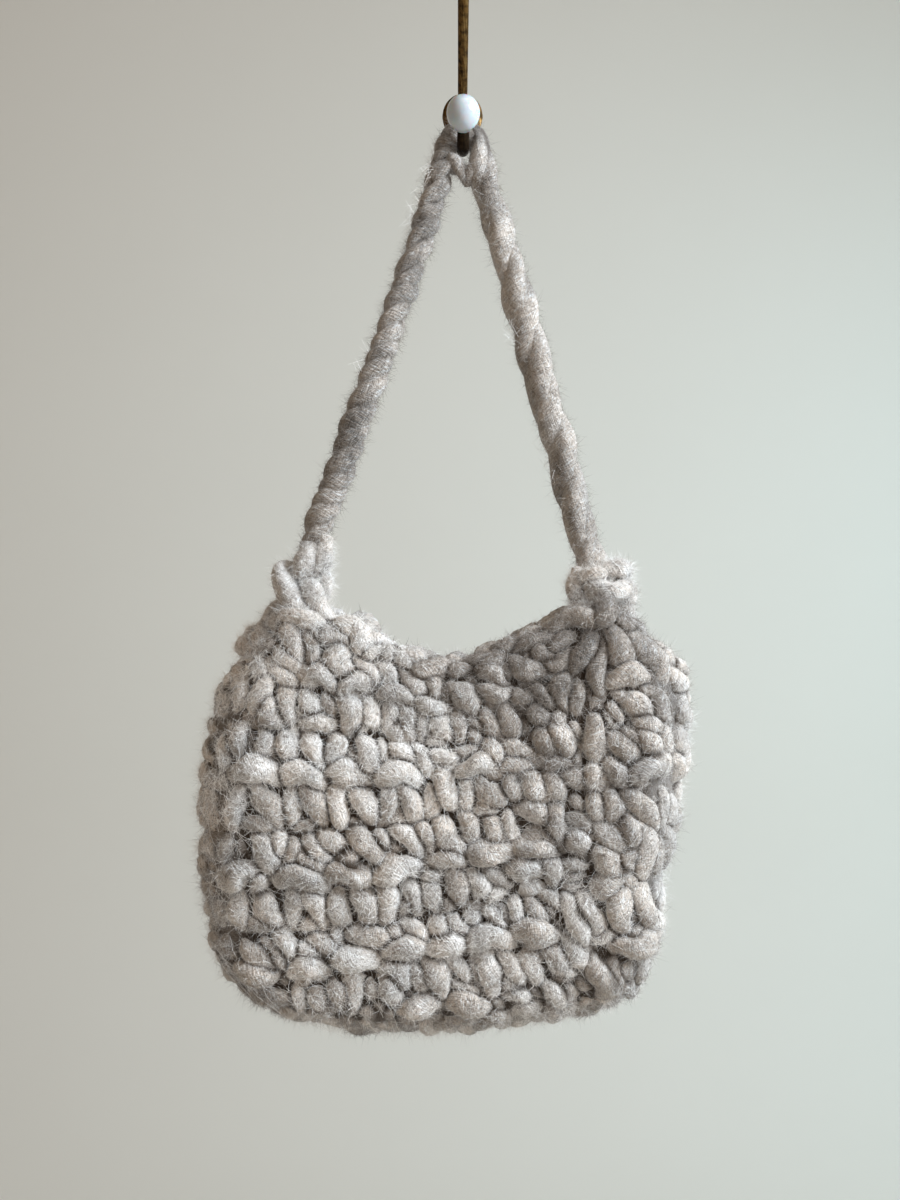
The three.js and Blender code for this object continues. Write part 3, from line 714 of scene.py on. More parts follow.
def laid_on_cloth(strands):
    """Start, middle and end of each strand as stitch and row, its thickness and its lift in millimetres."""
    grids = np.meshgrid(np.arange(*FRONT_STITCHES), np.arange(*FRONT_ROWS))
    stitch, row = (grid.ravel() for grid in grids)
    place, out = cloth_at(stitch, row)
    shown, far = seen_at(place + out * FACE_HEIGHT)
    front = out[:, 1] < FRONT_FACING
    stitch, row, shown, far = stitch[front], row[front], shown[front], far[front]
    laid = []
    for level, lines in strands.items():
        reach, fullness, lift, drawn_up = LEVELS[level]
        for x0, y0, x1, y1, width, *bow in lines:
            ends = np.array([(x0, y0), (x1, y1)], float)
            run_on = (ends[1] - ends[0]) / max(np.linalg.norm(ends[1] - ends[0]), 1) * width * reach
            middle = ends.mean(0) + (bow or (0, 0)) - (0, drawn_up)
            at = np.argmin(((shown - middle) ** 2).sum(1))
            near = HELD * (((stitch - stitch[at]) * STITCH_PX) ** 2 + ((row - row[at]) * BAND_PX) ** 2)
            tips = (ends[0] - run_on, ends[1] + run_on)
            start, end = (np.argmin(((shown - tip) ** 2).sum(1) + near) for tip in tips)
            thick = width * fullness * far[at] / FOCAL_PX
            thick = min(thick, FULL + FULLER * (thick - FULL)) / MM
            laid.append((stitch[start], row[start], stitch[at], row[at], stitch[end], row[end], thick, lift))
    laid = np.array(laid)
    # by half bands down from the rim, and along each of them from the left
    half_band = np.clip(np.floor(laid[:, 3] * 2), 0, 2 * BANDS - 1)
    return laid[np.lexsort((laid[:, 2], half_band))]


def nestled(skin, middle, radius):
    """0 where a strand is pressed against one of its neighbours, 1 where it is clear of them."""
    centre = middle.mean(1)
    apart = np.linalg.norm(centre[:, None] - centre[None], axis=2)
    beside = np.argsort(apart, axis=1)[:, 1 : NEIGHBOURS + 1]
    clear = np.empty(skin.shape[:2])
    for i, others in enumerate(beside):
        spots, size = middle[others].reshape(-1, 3), radius[others].ravel()
        clear[i] = (np.linalg.norm(skin[i][:, None] - spots[None], axis=2) - size).min(1)
    return smoothstep(*NESTLED, clear)


def yarn_arrays(middle, out, radius, tall, rng, sides=SIDES):
    """Places, faces and maps of plump closed strands round the given middle lines (strand, ring, xyz)."""
    count, rings = radius.shape
    heading = unit(np.gradient(middle, axis=1))
    across = unit(np.cross(heading, out))
    up = np.cross(across, heading)
    turn = np.linspace(0, 2 * math.pi, sides, endpoint=False)
    t = np.linspace(0, 1, rings)
    phase = rng.uniform(0, 2 * math.pi, (4, count, 1, 1))
    twist = rng.uniform(3, 8, (count, 1, 1)) * t[None, :, None]
    lumps = LUMPS[0] * np.sin(3 * turn + twist + phase[0])
    lumps = lumps + LUMPS[1] * np.sin(2 * turn - 1.4 * twist + phase[1])
    lumps = 1 + lumps + LUMPS[2] * np.sin(rng.uniform(6, 12, (count, 1, 1)) * t[None, :, None] + phase[2])
    crease = (turn - 0.5 * twist + phase[3]) % (2 * math.pi) - math.pi
    lumps = lumps - rng.uniform(*CREASE, (count, 1, 1)) * np.exp(-((crease / CREASE_WIDTH) ** 2))
    round_ = across[:, :, None] * np.cos(turn)[:, None] + up[:, :, None] * (tall * np.sin(turn))[:, None]
    skin = middle[:, :, None] + round_ * (radius[:, :, None] * lumps)[..., None]
    noses = np.stack([-radius[:, 0], radius[:, -1]], 1)[..., None] * NOSE
    poles = middle[:, [0, -1]] + heading[:, [0, -1]] * noses
    verts = np.concatenate([skin.reshape(count, -1, 3), poles], axis=1)
    stride = rings * sides + 2
    first = (np.arange(count) * stride)[:, None, None]
    r, j = np.arange(rings - 1)[:, None], np.arange(sides)[None, :]
    k = (j + 1) % sides
    quads = [r * sides + j, (r + 1) * sides + j, (r + 1) * sides + k, r * sides + k]
    quads = np.stack(quads, -1).reshape(-1, 4)
    j, k = j.ravel(), k.ravel()
    head = np.stack([np.full(sides, rings * sides), j, k], -1)
    tail = np.stack([np.full(sides, rings * sides + 1), (rings - 1) * sides + k, (rings - 1) * sides + j], -1)
    tris = np.concatenate([head, tail])
    steps = np.linalg.norm(np.diff(middle, axis=1), axis=2)
    length = np.concatenate([np.zeros((count, 1)), np.cumsum(steps, 1)], 1)
    girth = 2 * math.pi * radius.max(1)
    offset = rng.uniform(0, 3, (count, 2))
    slant = rng.uniform(-0.3, 0.3, (count, 1))

    def mapped(ring, side):
        ring, side = ring.ravel(), side.ravel()
        u = length[:, ring] + offset[:, :1]
        v = side[None] / sides * girth[:, None] + offset[:, 1:] + slant * length[:, ring]
        return np.stack([u, v], -1)

    rr, jj = np.repeat(np.arange(rings - 1), sides), np.tile(np.arange(sides), rings - 1)
    quad_uv = mapped(np.stack([rr, rr + 1, rr + 1, rr], -1), np.stack([jj, jj, jj + 1, jj + 1], -1))
    s = np.arange(sides)
    zero, last = np.zeros(sides, int), np.full(sides, rings - 1)
    ring = np.concatenate([np.stack([zero] * 3, -1), np.stack([last] * 3, -1)])
    side = np.concatenate([np.stack([s + 0.5, s, s + 1], -1), np.stack([s + 0.5, s + 1, s], -1)])
    tri_uv = mapped(ring, side)
    ends = heading[:, [0, -1]] * np.array([-1, 1])[None, :, None]
    normals = unit(np.concatenate([round_.reshape(count, -1, 3), ends], 1))
    return {
        "verts": verts.reshape(-1, 3),
        "normals": normals.reshape(-1, 3),
        "quads": (quads[None] + first).reshape(-1, 4),
        "tris": (tris[None] + first).reshape(-1, 3),
        "uv": np.concatenate([quad_uv.reshape(-1, 2), tri_uv.reshape(-1, 2)]),
        "tone": np.repeat(rng.uniform(*TONES, count), stride),
        # painted shade where a strand presses on its neighbours
        "open": 0.02 + 0.98 * nestled(verts, middle, radius).ravel(),
    }


def stitched(table, seed, sides=SIDES, rings=RINGS):
    """The strands of a table as yarn on the cloth."""
    rng = np.random.default_rng(seed)
    t = np.linspace(0, 1, rings)
    bend = np.stack([(1 - t) * (1 - 2 * t), 4 * t * (1 - t), t * (2 * t - 1)])
    stitch, row = table[:, [0, 2, 4]] @ bend, table[:, [1, 3, 5]] @ bend
    thick, lift = table[:, [6]] * MM, table[:, [7]] * MM
    arch = np.sin(math.pi * t) ** np.where(lift > ARCHED_LIFT, 0.75, 0.45)
    place, out = cloth_at(stitch.ravel(), row.ravel())
    place, out = place.reshape(*stitch.shape, 3), out.reshape(*stitch.shape, 3)
    each = (len(table), 1)
    wave = WANDER * thick * np.sin(rng.uniform(5, 9, each) * t + rng.uniform(0, 2 * math.pi, each))
    place = place + unit(np.cross(unit(np.gradient(place, axis=1)), out)) * wave[..., None]
    tilt = rng.uniform(-TILT, TILT, each) * thick * (2 * t - 1)
    between_bands = np.exp(-(((row - np.round(row)) / GROOVE_ROWS) ** 2))
    groove = GROOVE * between_bands * ((row > GROOVES_FROM) & (row < GROOVES_TO))
    height = lift + rng.uniform(-UNEVEN, UNEVEN, each) + tilt - groove - DIVE * thick * (1 - arch)
    radius = thick / 2 * (THIN_END + SWELL * np.sin(math.pi * (0.04 + 0.92 * t)) ** 0.7)
    yarn = yarn_arrays(place + out * height[..., None], out, radius, FLATNESS, rng, sides)
    turn = np.linspace(0, 2 * math.pi, sides, endpoint=False)
    stand = height[..., None] + radius[..., None] * np.sin(turn) * FLATNESS
    ends = height[:, [0, -1]]
    stand = np.concatenate([stand.reshape(len(table), -1), ends], axis=1)
    # painted light: a strand is shaded low down near the cloth and where it presses on others
    yarn["painted_light"] = smoothstep(*STANDS, stand).ravel() * yarn["open"]
    # broad patches of the fleece's own tone and of painted shade
    shade = np.zeros(len(table))
    for at_stitch, at_row, stitches, rows, amount in SHADES:
        off_stitch, off_row = (table[:, 2] - at_stitch) / stitches, (table[:, 3] - at_row) / rows
        shade += amount * np.exp(-(off_stitch**2) - off_row**2)
    yarn["tone"] = yarn["tone"] + np.repeat(shade, len(yarn["tone"]) // len(table))
    return yarn


def yarn_piece(name, yarns, *nodes):
    """One piece of several lots of yarn, pressed flat where it would reach the plane of the hook's back."""
    verts, faces, uv, painted_light, tone, start = [], [], [], [], [], 0
    for yarn in yarns:
        yarn["verts"][:, 1] = np.minimum(yarn["verts"][:, 1], PRESSED)
        verts.append(yarn["verts"])
        faces += (yarn["quads"] + start).tolist() + (yarn["tris"] + start).tolist()
        uv.append(yarn["uv"])
        painted_light.append(yarn["painted_light"])
        tone.append(yarn["tone"])
        start += len(yarn["verts"])
    mesh = bpy.data.meshes.new(name)
    mesh.from_pydata(np.concatenate(verts).tolist(), [], faces)
    return wool_piece(name, mesh, np.concatenate(uv), np.concatenate(painted_light), np.concatenate(tone), *nodes)


def hand_worked(table, seed):
    """The same strands a little different, as no two pieces of hand work are the same."""
    rng = np.random.default_rng(seed)
    return np.array(table) + rng.normal(0, 1, (len(table), 8)) * HAND_WORK


def repeated(pattern, columns, rows):
    """A pattern of strands repeated over columns and rows."""
    shift = np.array([(column, row) * 3 + (0, 0) for row in rows for column in columns])
    return (np.array(pattern)[None] + shift[:, None]).reshape(-1, 8)


# a strand's start, middle and end as stitch and row, then its thickness and lift in millimetres, as in the
# lists of the next two sections, and how much hand work varies each of these
UNDER = [(-0.05, 0.01, 0.50, -0.01, 1.05, 0.01, 16.0, -3.5)]
UNDER_ROWS = np.arange(0.45, 4.0, 0.5)
HAND_WORK = (0.05, 0.03, 0.05, 0.03, 0.05, 0.03, 0.7, 0.4)
AROUND = range(STITCHES_AROUND)
BACK_FULLER = 1.2
# painted shade of the under strands, which lie in the gaps
UNDER_SHADE = -0.20
laid = laid_on_cloth(FRONT_STRANDS)
mirrored = laid * (-1, 1, -1, 1, -1, 1, BACK_FULLER, 1) + np.array([STITCHES_AROUND, 0] * 3 + [0, 0])
front = stitched(laid, seed=21)
back = stitched(hand_worked(mirrored, seed=12), seed=22, sides=10, rings=9)
under = stitched(hand_worked(repeated(UNDER, AROUND, UNDER_ROWS), seed=13), seed=23, sides=10, rings=9)
# painted shade: the under strands are made darker, and darker still on the front
under["tone"] += UNDER_SHADE
under["painted_light"] *= 0.75 + 0.25 * behind(under["verts"])
yarn_piece("stitches_front", [front])
yarn_piece("stitches_back", [back])
yarn_piece("stitches_under", [under])

# Rim: the loops of the last row, laid along the top of the lip and over it. Inside, below the lip, the wrong
# side of the same stitches shows as flatter, sideways strands.
RIM = [
    (0.10, -0.16, 0.48, -0.21, 0.86, -0.22, 13.0, 0.3),
    (0.52, -0.30, 0.87, -0.34, 1.22, -0.34, 12.5, 0.0),
]
INSIDE = [
    (0.05, -0.50, 0.50, -0.50, 0.95, -0.56, 13.5, -0.5),
    (0.22, -0.66, 0.24, -0.83, 0.26, -1.00, 13.0, -1.0),
    (0.72, -0.64, 0.71, -0.83, 0.70, -1.02, 13.0, -1.0),
]
INSIDE_ROWS = [0, -0.55, -1.1]
rim_chain = stitched(hand_worked(repeated(RIM, AROUND, [0]), seed=31), seed=41, sides=12, rings=11)
inside = stitched(hand_worked(repeated(INSIDE, AROUND, INSIDE_ROWS), seed=32), seed=42, sides=8, rings=8)
yarn_piece("rim_chain", [rim_chain])
yarn_piece("stitches_inside", [inside])

# Side seams and fold: the same wool, sewn over both edges in fat turns to join the sides of the pouch.
# Along the bottom, the stitches of the folded panel turn under from the front to the back.
SEAM_LEFT = [
    (-0.45, -0.05, -0.01, 0.01, 0.42, 0.07, 13.0, 0.6),
    (0.20, -0.10, 0.46, 0.00, 0.66, 0.12, 13.0, 0.0),
    (0.60, -0.08, 0.72, 0.03, 0.80, 0.14, 12.5, -2.4),
]
SEAM_RIGHT = [
    (10.34, -0.06, 10.52, 0.10, 10.66, 0.28, 15.0, 0.8),
    (10.66, 0.02, 10.84, 0.22, 10.94, 0.46, 14.0, 1.2),
    (11.10, 0.14, 11.06, 0.34, 11.18, 0.54, 13.5, 0.8),
    (11.52, -0.06, 11.38, 0.12, 11.34, 0.32, 14.0, 0.6),
]
# the rows at which the seams repeat, and the stitches at which yarn turns under the fold from this row on
LEFT_ROWS = np.arange(0.12, 3.9, 0.205)
RIGHT_ROWS = np.arange(0.02, 3.5, 0.36)
FOLD_PLACES = np.arange(0.9, 10.4, 0.52)
FOLD_ROW = 3.86
FOLD_THICK = 13 * MM
FOLD_LIFT = 0.5 * MM
FOLD_CORE = 60 * MM
left_turns = hand_worked(repeated(SEAM_LEFT, [0], LEFT_ROWS), seed=33)
right_turns = hand_worked(repeated(SEAM_RIGHT, [0], RIGHT_ROWS), seed=34)
seam_left = stitched(left_turns, seed=43, sides=12, rings=11)
seam_right = stitched(right_turns, seed=44, sides=12, rings=13)


def free_yarn(lines, thick, cores, seed, rings=RINGS, sides=SIDES, taper=0.5):
    """Plump strands along lines of their own, each with the core that its top faces away from."""
    rng = np.random.default_rng(seed)
    middle = np.stack([through(line, rings) for line in lines])
    t = np.linspace(0, 1, rings)
    radius = np.asarray(thick)[:, None] / 2 * (1 - taper + taper * np.sin(math.pi * (0.05 + 0.90 * t)) ** 0.6)
    yarn = yarn_arrays(middle, unit(middle - np.asarray(cores)[:, None]), radius, 1.0, rng, sides)
    # painted shade: each turn is lit on its outer face and shaded where it lies on its core, at its ends and
    # where it presses on others
    top = np.tile(np.sin(np.linspace(0, 2 * math.pi, sides, endpoint=False)), rings)
    lit = np.concatenate([0.68 + 0.32 * top, [0.4, 0.4]])
    yarn["painted_light"] = np.tile(lit, len(middle)) * (0.35 + 0.65 * yarn["open"])
    return yarn


def across_fold(stitch):
    """Lines from the front, under the fold and up the back."""
    beside, lowest = np.full(len(stitch), FOLD_ROW), np.full(len(stitch), float(BANDS))
    front_side, _ = cloth_at(stitch, beside)
    back_side, _ = cloth_at(STITCHES_AROUND - stitch, beside)
    under_side, _ = cloth_at(stitch, lowest)
    return np.stack([front_side, under_side + [0, 0, FOLD_LIFT], back_side], axis=1)


fold_lines = across_fold(FOLD_PLACES)
fold_thick = FOLD_THICK * (1 + 0.16 * np.sin(FOLD_PLACES * 5.3) + 0.10 * np.sin(FOLD_PLACES * 11.7))
fold_cores = fold_lines[:, 1] + [0, 0, FOLD_CORE]
fold_turn = free_yarn(fold_lines, fold_thick, fold_cores, seed=45, rings=13, taper=0.35)
seams = yarn_piece("edge_seams", [seam_left, seam_right, fold_turn])

# Strap: one soft cord of the same wool, hung over the hook and knotted to the bag at both ends. The left leg
# is wound tightly into short lobes, and the right leg is pulled out until only two long fuzzy plies show.
STRAP_ROUTE = [
    # millimetres, from the left knot over the hook to the right one
    (-103, -47, -322), (-97, -46, -299), (-91, -45, -274), (-80, -43, -245), (-68, -41, -208),
    (-54, -39, -170), (-38, -36, -122), (-25, -33, -84), (-16, -31, -52), (-12, -29.5, -34), (-8.4, -29, -23),
    (0, -29, -19.2), (8.4, -29, -23), (12, -29.5, -34), (15, -31, -55), (24, -33, -88), (32, -35, -114),
    (44, -38, -160), (54, -41, -199), (66, -43, -239), (75, -45, -278), (83, -46, -304), (90, -47, -322),
]
ROUTE_POINTS = 702
# where the strap comes free of the left knot, and how much the hook squeezes it within what reach
FREE_FROM = 22 * MM
SQUEEZE = 0.30
SQUEEZE_REACH = 30 * MM
# thickness of a ply, its distance from the strap's middle, its pitch and its unevenness
TIGHT = (12.6 * MM, 3.3 * MM, -28 * MM, 0.6)
LOOSE = (17.0 * MM, 2.3 * MM, -60 * MM, 0.15)
PLY_STEPS = 18
# how far the two legs run past the top of the hook into each other
LEFT_PAST_HOOK = 8 * MM
RIGHT_PAST_HOOK = 10 * MM
MATTED = [
    # millimetres: the wool that mats together between the legs, under the tip of the hook
    ((-12, -31, -34), (-4, -34, -43), (2, -33, -54)),
    ((14, -31, -36), (8, -34, -44), (2, -33, -56)),
    ((-10, -30, -42), (1, -32, -47), (13, -30, -45)),
]
MATTED_THICK = 9 * MM
MATTED_CORE = (1 * MM, 0, -44 * MM)
# how much darker the strap and its matting are made than the bag
LEFT_TONE = -0.60
RIGHT_TONE = -0.44
MATTED_TONE = -0.50

route = through(np.array(STRAP_ROUTE) * MM, ROUTE_POINTS)
route_length = np.concatenate([[0], np.cumsum(np.linalg.norm(np.diff(route, axis=0), axis=1))])
heading = unit(np.gradient(route, axis=0))
strap_front = unit(np.cross(np.cross(heading, [0, -1.0, 0]), heading))
strap_side = np.cross(heading, strap_front)
hook_at = route_length[np.argmax(route[:, 2])]


def along_strap(values, along):
    """What is known at each point of the strap's route, at the given lengths along it."""
    return np.stack([np.interp(along, route_length, values[:, k]) for k in range(3)], -1)


def on_strap(along, side, front):
    """Places beside the strap's middle line, drawn in where the hook squeezes it."""
    spot, sideways, forward = (along_strap(values, along) for values in (route, strap_side, strap_front))
    squeeze = 1 - SQUEEZE * np.exp(-(((along - hook_at) / SQUEEZE_REACH) ** 2))
    return spot + (sideways * side[..., None] + forward * front[..., None]) * squeeze[..., None], squeeze


def twisted_plies(start, end, thick, offset, pitch, uneven, seed):
    """Two soft plies wound round each other."""
    rng = np.random.default_rng(seed)
    along = np.arange(start, end, abs(pitch) / PLY_STEPS)
    lines, radius = [], []
    wander = uneven * (np.sin(along / (19 * MM)) + 0.8 * np.sin(along / (7.7 * MM) + 1.3))
    for ply in (0, math.pi):
        turn = 2 * math.pi * along / pitch + ply + wander
        beat = rng.uniform(0, 2 * math.pi, 3)
        swell = 1 + 0.06 * np.sin(along / (17 * MM) + beat[0]) + 0.05 * np.sin(along / (7.3 * MM) + beat[1])
        swell = swell + 0.03 * np.sin(along / (4.1 * MM) + beat[2])
        line, squeeze = on_strap(along, offset * np.cos(turn), offset * np.sin(turn))
        lines.append(line)
        radius.append(thick / 2 * squeeze * swell)
    middle, radius = np.stack(lines), np.stack(radius)
    out = np.broadcast_to(np.array([0, -1.0, 0]), middle.shape)
    yarn = yarn_arrays(middle, out, radius, 1.0, rng)
    # painted shade where the plies lie against each other, near the strap's middle
    inner = along_strap(route, along)
    rings = yarn["verts"].reshape(2, -1, 3)[:, :-2].reshape(2, len(along), SIDES, 3)
    away = np.linalg.norm(rings - inner[None, :, None], axis=-1) / (offset + thick / 2)
    lit = smoothstep(0.42, 0.88, away).reshape(2, -1)
    yarn["painted_light"] = np.concatenate([lit, np.zeros((2, 2))], axis=1).ravel()
    return yarn


left_leg = twisted_plies(FREE_FROM, hook_at + LEFT_PAST_HOOK, *TIGHT, seed=51)
right_leg = twisted_plies(hook_at - RIGHT_PAST_HOOK, route_length[-1], *LOOSE, seed=52)
left_leg["tone"] += LEFT_TONE
right_leg["tone"] += RIGHT_TONE
matted = free_yarn(np.array(MATTED) * MM, [MATTED_THICK] * 3, [MATTED_CORE] * 3, seed=54, rings=11, sides=12)
matted["tone"] += MATTED_TONE
strap = yarn_piece("strap_yarn", [left_leg, right_leg], "strap")
matted_wool = yarn_piece("strap_matting", [matted])

# Knots: the strap's own ends, drawn through the corners of the rim and wound round, fat and barely twisted.
# Each turn is a plump strand of its own, and together they close over the end of the strap.
LEFT_CORE = np.array((-100, -47, -322)) * MM
RIGHT_CORE = np.array((89, -47, -322)) * MM
KNOT_TURNS = [
    # millimetres: thickness, then the points that the turn follows; first the left knot
    (15.0, (-105, -44, -309), (-115, -53, -309), (-113, -64, -319), (-104, -68, -335), (-95, -60, -347)),
    (13.5, (-101, -58, -315), (-94, -66, -326), (-89, -67, -335), (-87, -58, -343)),
    (8.0, (-89, -56, -307), (-87, -59, -318), (-88, -58, -327)),
    (14.5, (-97, -52, -293), (-101, -59, -306), (-102, -57, -317)),
    (11.5, (-87, -52, -288), (-89, -57, -300), (-94, -56, -312)),
    (13.5, (-112, -44, -326), (-122, -47, -339), (-133, -48, -351)),
    (13.5, (-129, -54, -346), (-127, -61, -354), (-123, -58, -362)),
    (11.0, (-122, -54, -339), (-117, -60, -344), (-111, -58, -349)),
    (11.5, (-132, -46, -347), (-139, -50, -354), (-143, -48, -362)),
    (13.0, (-128, -36, -346), (-133, -32, -354), (-136, -34, -364)),
    (14.0, (-94, -36, -292), (-100, -34, -306), (-104, -36, -320)),
    (15.0, (-112, -36, -312), (-103, -29, -326), (-92, -32, -342)),
    (12.5, (-114, -70, -336), (-101, -76, -339), (-88, -72, -344)),
    (15.0, (-114, -46, -313), (-106, -49, -326), (-99, -46, -342)),
    # the right knot
    (13.0, (74, -50, -309), (72, -56, -320), (76, -56, -332)),
    (17.0, (79, -56, -321), (91, -65, -323), (105, -57, -322)),
    (13.5, (101, -52, -314), (104, -57, -322), (102, -56, -333)),
    (10.0, (76, -57, -314), (83, -63, -312), (90, -60, -311)),
    (13.0, (90, -58, -309), (98, -58, -308), (105, -50, -310)),
    (11.5, (90, -60, -328), (90, -66, -336), (88, -64, -346)),
    (10.5, (71, -58, -331), (77, -63, -334), (84, -63, -337)),
    (12.5, (99, -56, -330), (103, -60, -339), (105, -58, -348)),
    (15.0, (74, -46, -318), (79, -34, -320), (97, -32, -320), (104, -46, -318)),
    (13.0, (76, -46, -309), (87, -34, -308), (101, -44, -309)),
]
knot_lines = [np.array(points) * MM for _, *points in KNOT_TURNS]
knot_thick = [thick * MM for thick, *_ in KNOT_TURNS]
knot_cores = [LEFT_CORE if line[0][0] < 0 else RIGHT_CORE for line in knot_lines]
knots = free_yarn(knot_lines, knot_thick, knot_cores, seed=53, rings=21, sides=16, taper=0.4)
yarn_piece("corner_knots", [knots])

# Fibres: loose hairs of the fleece, mostly short and lying over the yarn, with some long ones that stand off.
# Each is a closed spike of three sides, rooted in the top of a strand.
rng = np.random.default_rng(61)
HAIR_LOTS = [
    # name, yarns, hairs, shortest and longest, thickness, how far they stand off, share of dark ones
    ("fibres_front", [front], 49000, 2.5 * MM, 8.0 * MM, 0.30 * MM, 0.26, 0.32),
    ("fibres_rim", [front, rim_chain], 20000, 3.0 * MM, 11.0 * MM, 0.20 * MM, 0.9, 0.10),
    ("fibres_back", [back], 6000, 3.0 * MM, 9.0 * MM, 0.36 * MM, 0.5, 0.20),
    ("fibres_edges", [seam_left, seam_right, fold_turn], 20000, 2.5 * MM, 13.0 * MM, 0.17 * MM, 0.8, 0.05),
    ("fibres_strap", [left_leg, right_leg, matted, knots], 34000, 2.5 * MM, 11.0 * MM, 0.18 * MM, 0.8, 0.08),
]
# hairs root where the yarn's painted light is at least this, a little off its skin, and none stands out past
# this plane
ROOTED = 0.35
ROOT_STRAY = 0.9 * MM
ROOT_DEPTH = 0.3 * MM
FOREMOST = -101.5 * MM
DARK_FIBRE = (0.125, 0.095, 0.072, 1)
WHITE_FIBRE = (0.90, 0.890, 0.875, 1)
CREAM_FIBRE = (0.92, 0.885, 0.845, 1)
dull = {"Roughness": 0.9, "Specular IOR Level": 0.15}
# painted light: the hairs glow faintly, to lift them in shade as light through them would
painted_glow = {"Emission Color": (1.0, 0.97, 0.93, 1), "Emission Strength": 0.10}
fibre_wool, shader, place = new_material("wool_fibres", {**dull, **painted_glow})
pale = place.node("Attribute", {"attribute_name": "tone"}, output=2)
mixed = place.noise(30 * MM, 2, 0.6).between(0.40, 0.60)
wire(shader, colour=pale.mix(DARK_FIBRE, mixed.mix(WHITE_FIBRE, CREAM_FIBRE)))


def hairs(yarns, count, shortest, longest, thick, stand, dark):
    """Thin closed hairs of three sides, tapered to a point and rooted in the yarn, and their tones."""
    verts = np.concatenate([yarn["verts"] for yarn in yarns])
    normals = np.concatenate([yarn["normals"] for yarn in yarns])
    painted_light = np.concatenate([yarn["painted_light"] for yarn in yarns])
    chosen = rng.choice(np.flatnonzero(painted_light > ROOTED), count)
    out = normals[chosen]
    # the hairs take the yarn's tone, its painted shade included, and more are dark where it is low
    light = np.concatenate([yarn["tone"] for yarn in yarns])[chosen]
    is_pale = rng.uniform(0, 1, count) > dark + 0.9 * (0.5 - light)
    tone = is_pale * rng.uniform(0.50, 1.0, count) * (0.4 + 1.2 * light)
    stray = rng.normal(0, 1, (2, count, 3))
    stray -= out * np.sum(stray * out, axis=2, keepdims=True)
    root = verts[chosen] + stray[0] * ROOT_STRAY - out * ROOT_DEPTH
    way = unit(unit(stray[1]) + out * stand * rng.uniform(0.05, 1.9, (count, 1)))
    length = shortest + (longest - shortest) * rng.uniform(0, 1, (count, 1)) ** 1.8
    one = unit(np.cross(way, out))
    two = np.cross(way, one)
    turn = np.array([0, 2, 4]) * math.pi / 3
    spokes = one[:, None] * np.cos(turn)[:, None] + two[:, None] * np.sin(turn)[:, None]
    foot = root[:, None] + spokes * thick / 2
    places = np.concatenate([foot, (root + way * length)[:, None]], axis=1).reshape(-1, 3)
    places[:, 1] = np.clip(places[:, 1], FOREMOST, PRESSED / 2)
    faces = np.array([[0, 1, 3], [1, 2, 3], [2, 0, 3], [2, 1, 0]]) + (np.arange(count) * 4)[:, None, None]
    return places, faces.reshape(-1, 3), np.repeat(tone, 4)


def fibre_piece(name, places, faces, tone):
    mesh = bpy.data.meshes.new(name)
    mesh.from_pydata(places.tolist(), [], faces.tolist())
    mesh.attributes.new("tone", "FLOAT", "POINT").data.foreach_set("value", np.asarray(tone, np.float32))
    return placed(bpy.data.objects.new(name, mesh), fibre_wool, "wool")


for name, *lot in HAIR_LOTS:
    fibre_piece(name, *hairs(*lot))

# Wisps: tufts of long white hairs that have worked loose and lie over the stitches or hang off the strap.
# Each hair is a thin closed strand that wanders as it goes and gets thinner to its tip.
TUFTS = [
    # stitch, row, spread in stitches, length in stitches, lean in degrees from straight down, hairs
    (1.1, 0.25, 0.22, 0.8, 5, 44), (1.4, 0.65, 0.25, 0.7, 10, 26), (1.5, 1.45, 0.26, 0.8, 10, 60),
    (1.4, 1.75, 0.30, 0.7, 20, 30), (1.2, 2.40, 0.30, 0.7, 30, 50), (1.3, 3.60, 0.40, 0.7, 60, 26),
    (2.8, 3.95, 0.80, 0.7, 70, 28), (8.5, 3.15, 0.28, 0.6, 40, 64), (3.7, 3.50, 0.35, 0.5, 20, 30),
    (3.4, 0.00, 0.30, 0.6, 30, 20), (7.4, 2.00, 0.40, 0.6, 50, 20), (9.6, 2.40, 0.50, 0.6, 15, 12),
    (5.5, 3.2, 1.5, 0.5, 60, 16),
]
STRAP_TUFTS = [
    # along the strap, to the right and forwards in millimetres, then its length and its hairs
    (292, -8, 2, 18, 26), (262, -8, 2, 20, 26), (280, -6, 6, 16, 16),
    (150, -8, 3, 14, 12), (470, 8, 2, 18, 16), (560, 8, 2, 18, 16),
]
# points along a wisp, its radius at the root and its tone, and how many rows are as long as a stitch is wide
WISP_POINTS = 9
WISP_RADIUS = 0.12 * MM
WISP_TONE = 0.85
ROWS_A_STITCH = 0.48


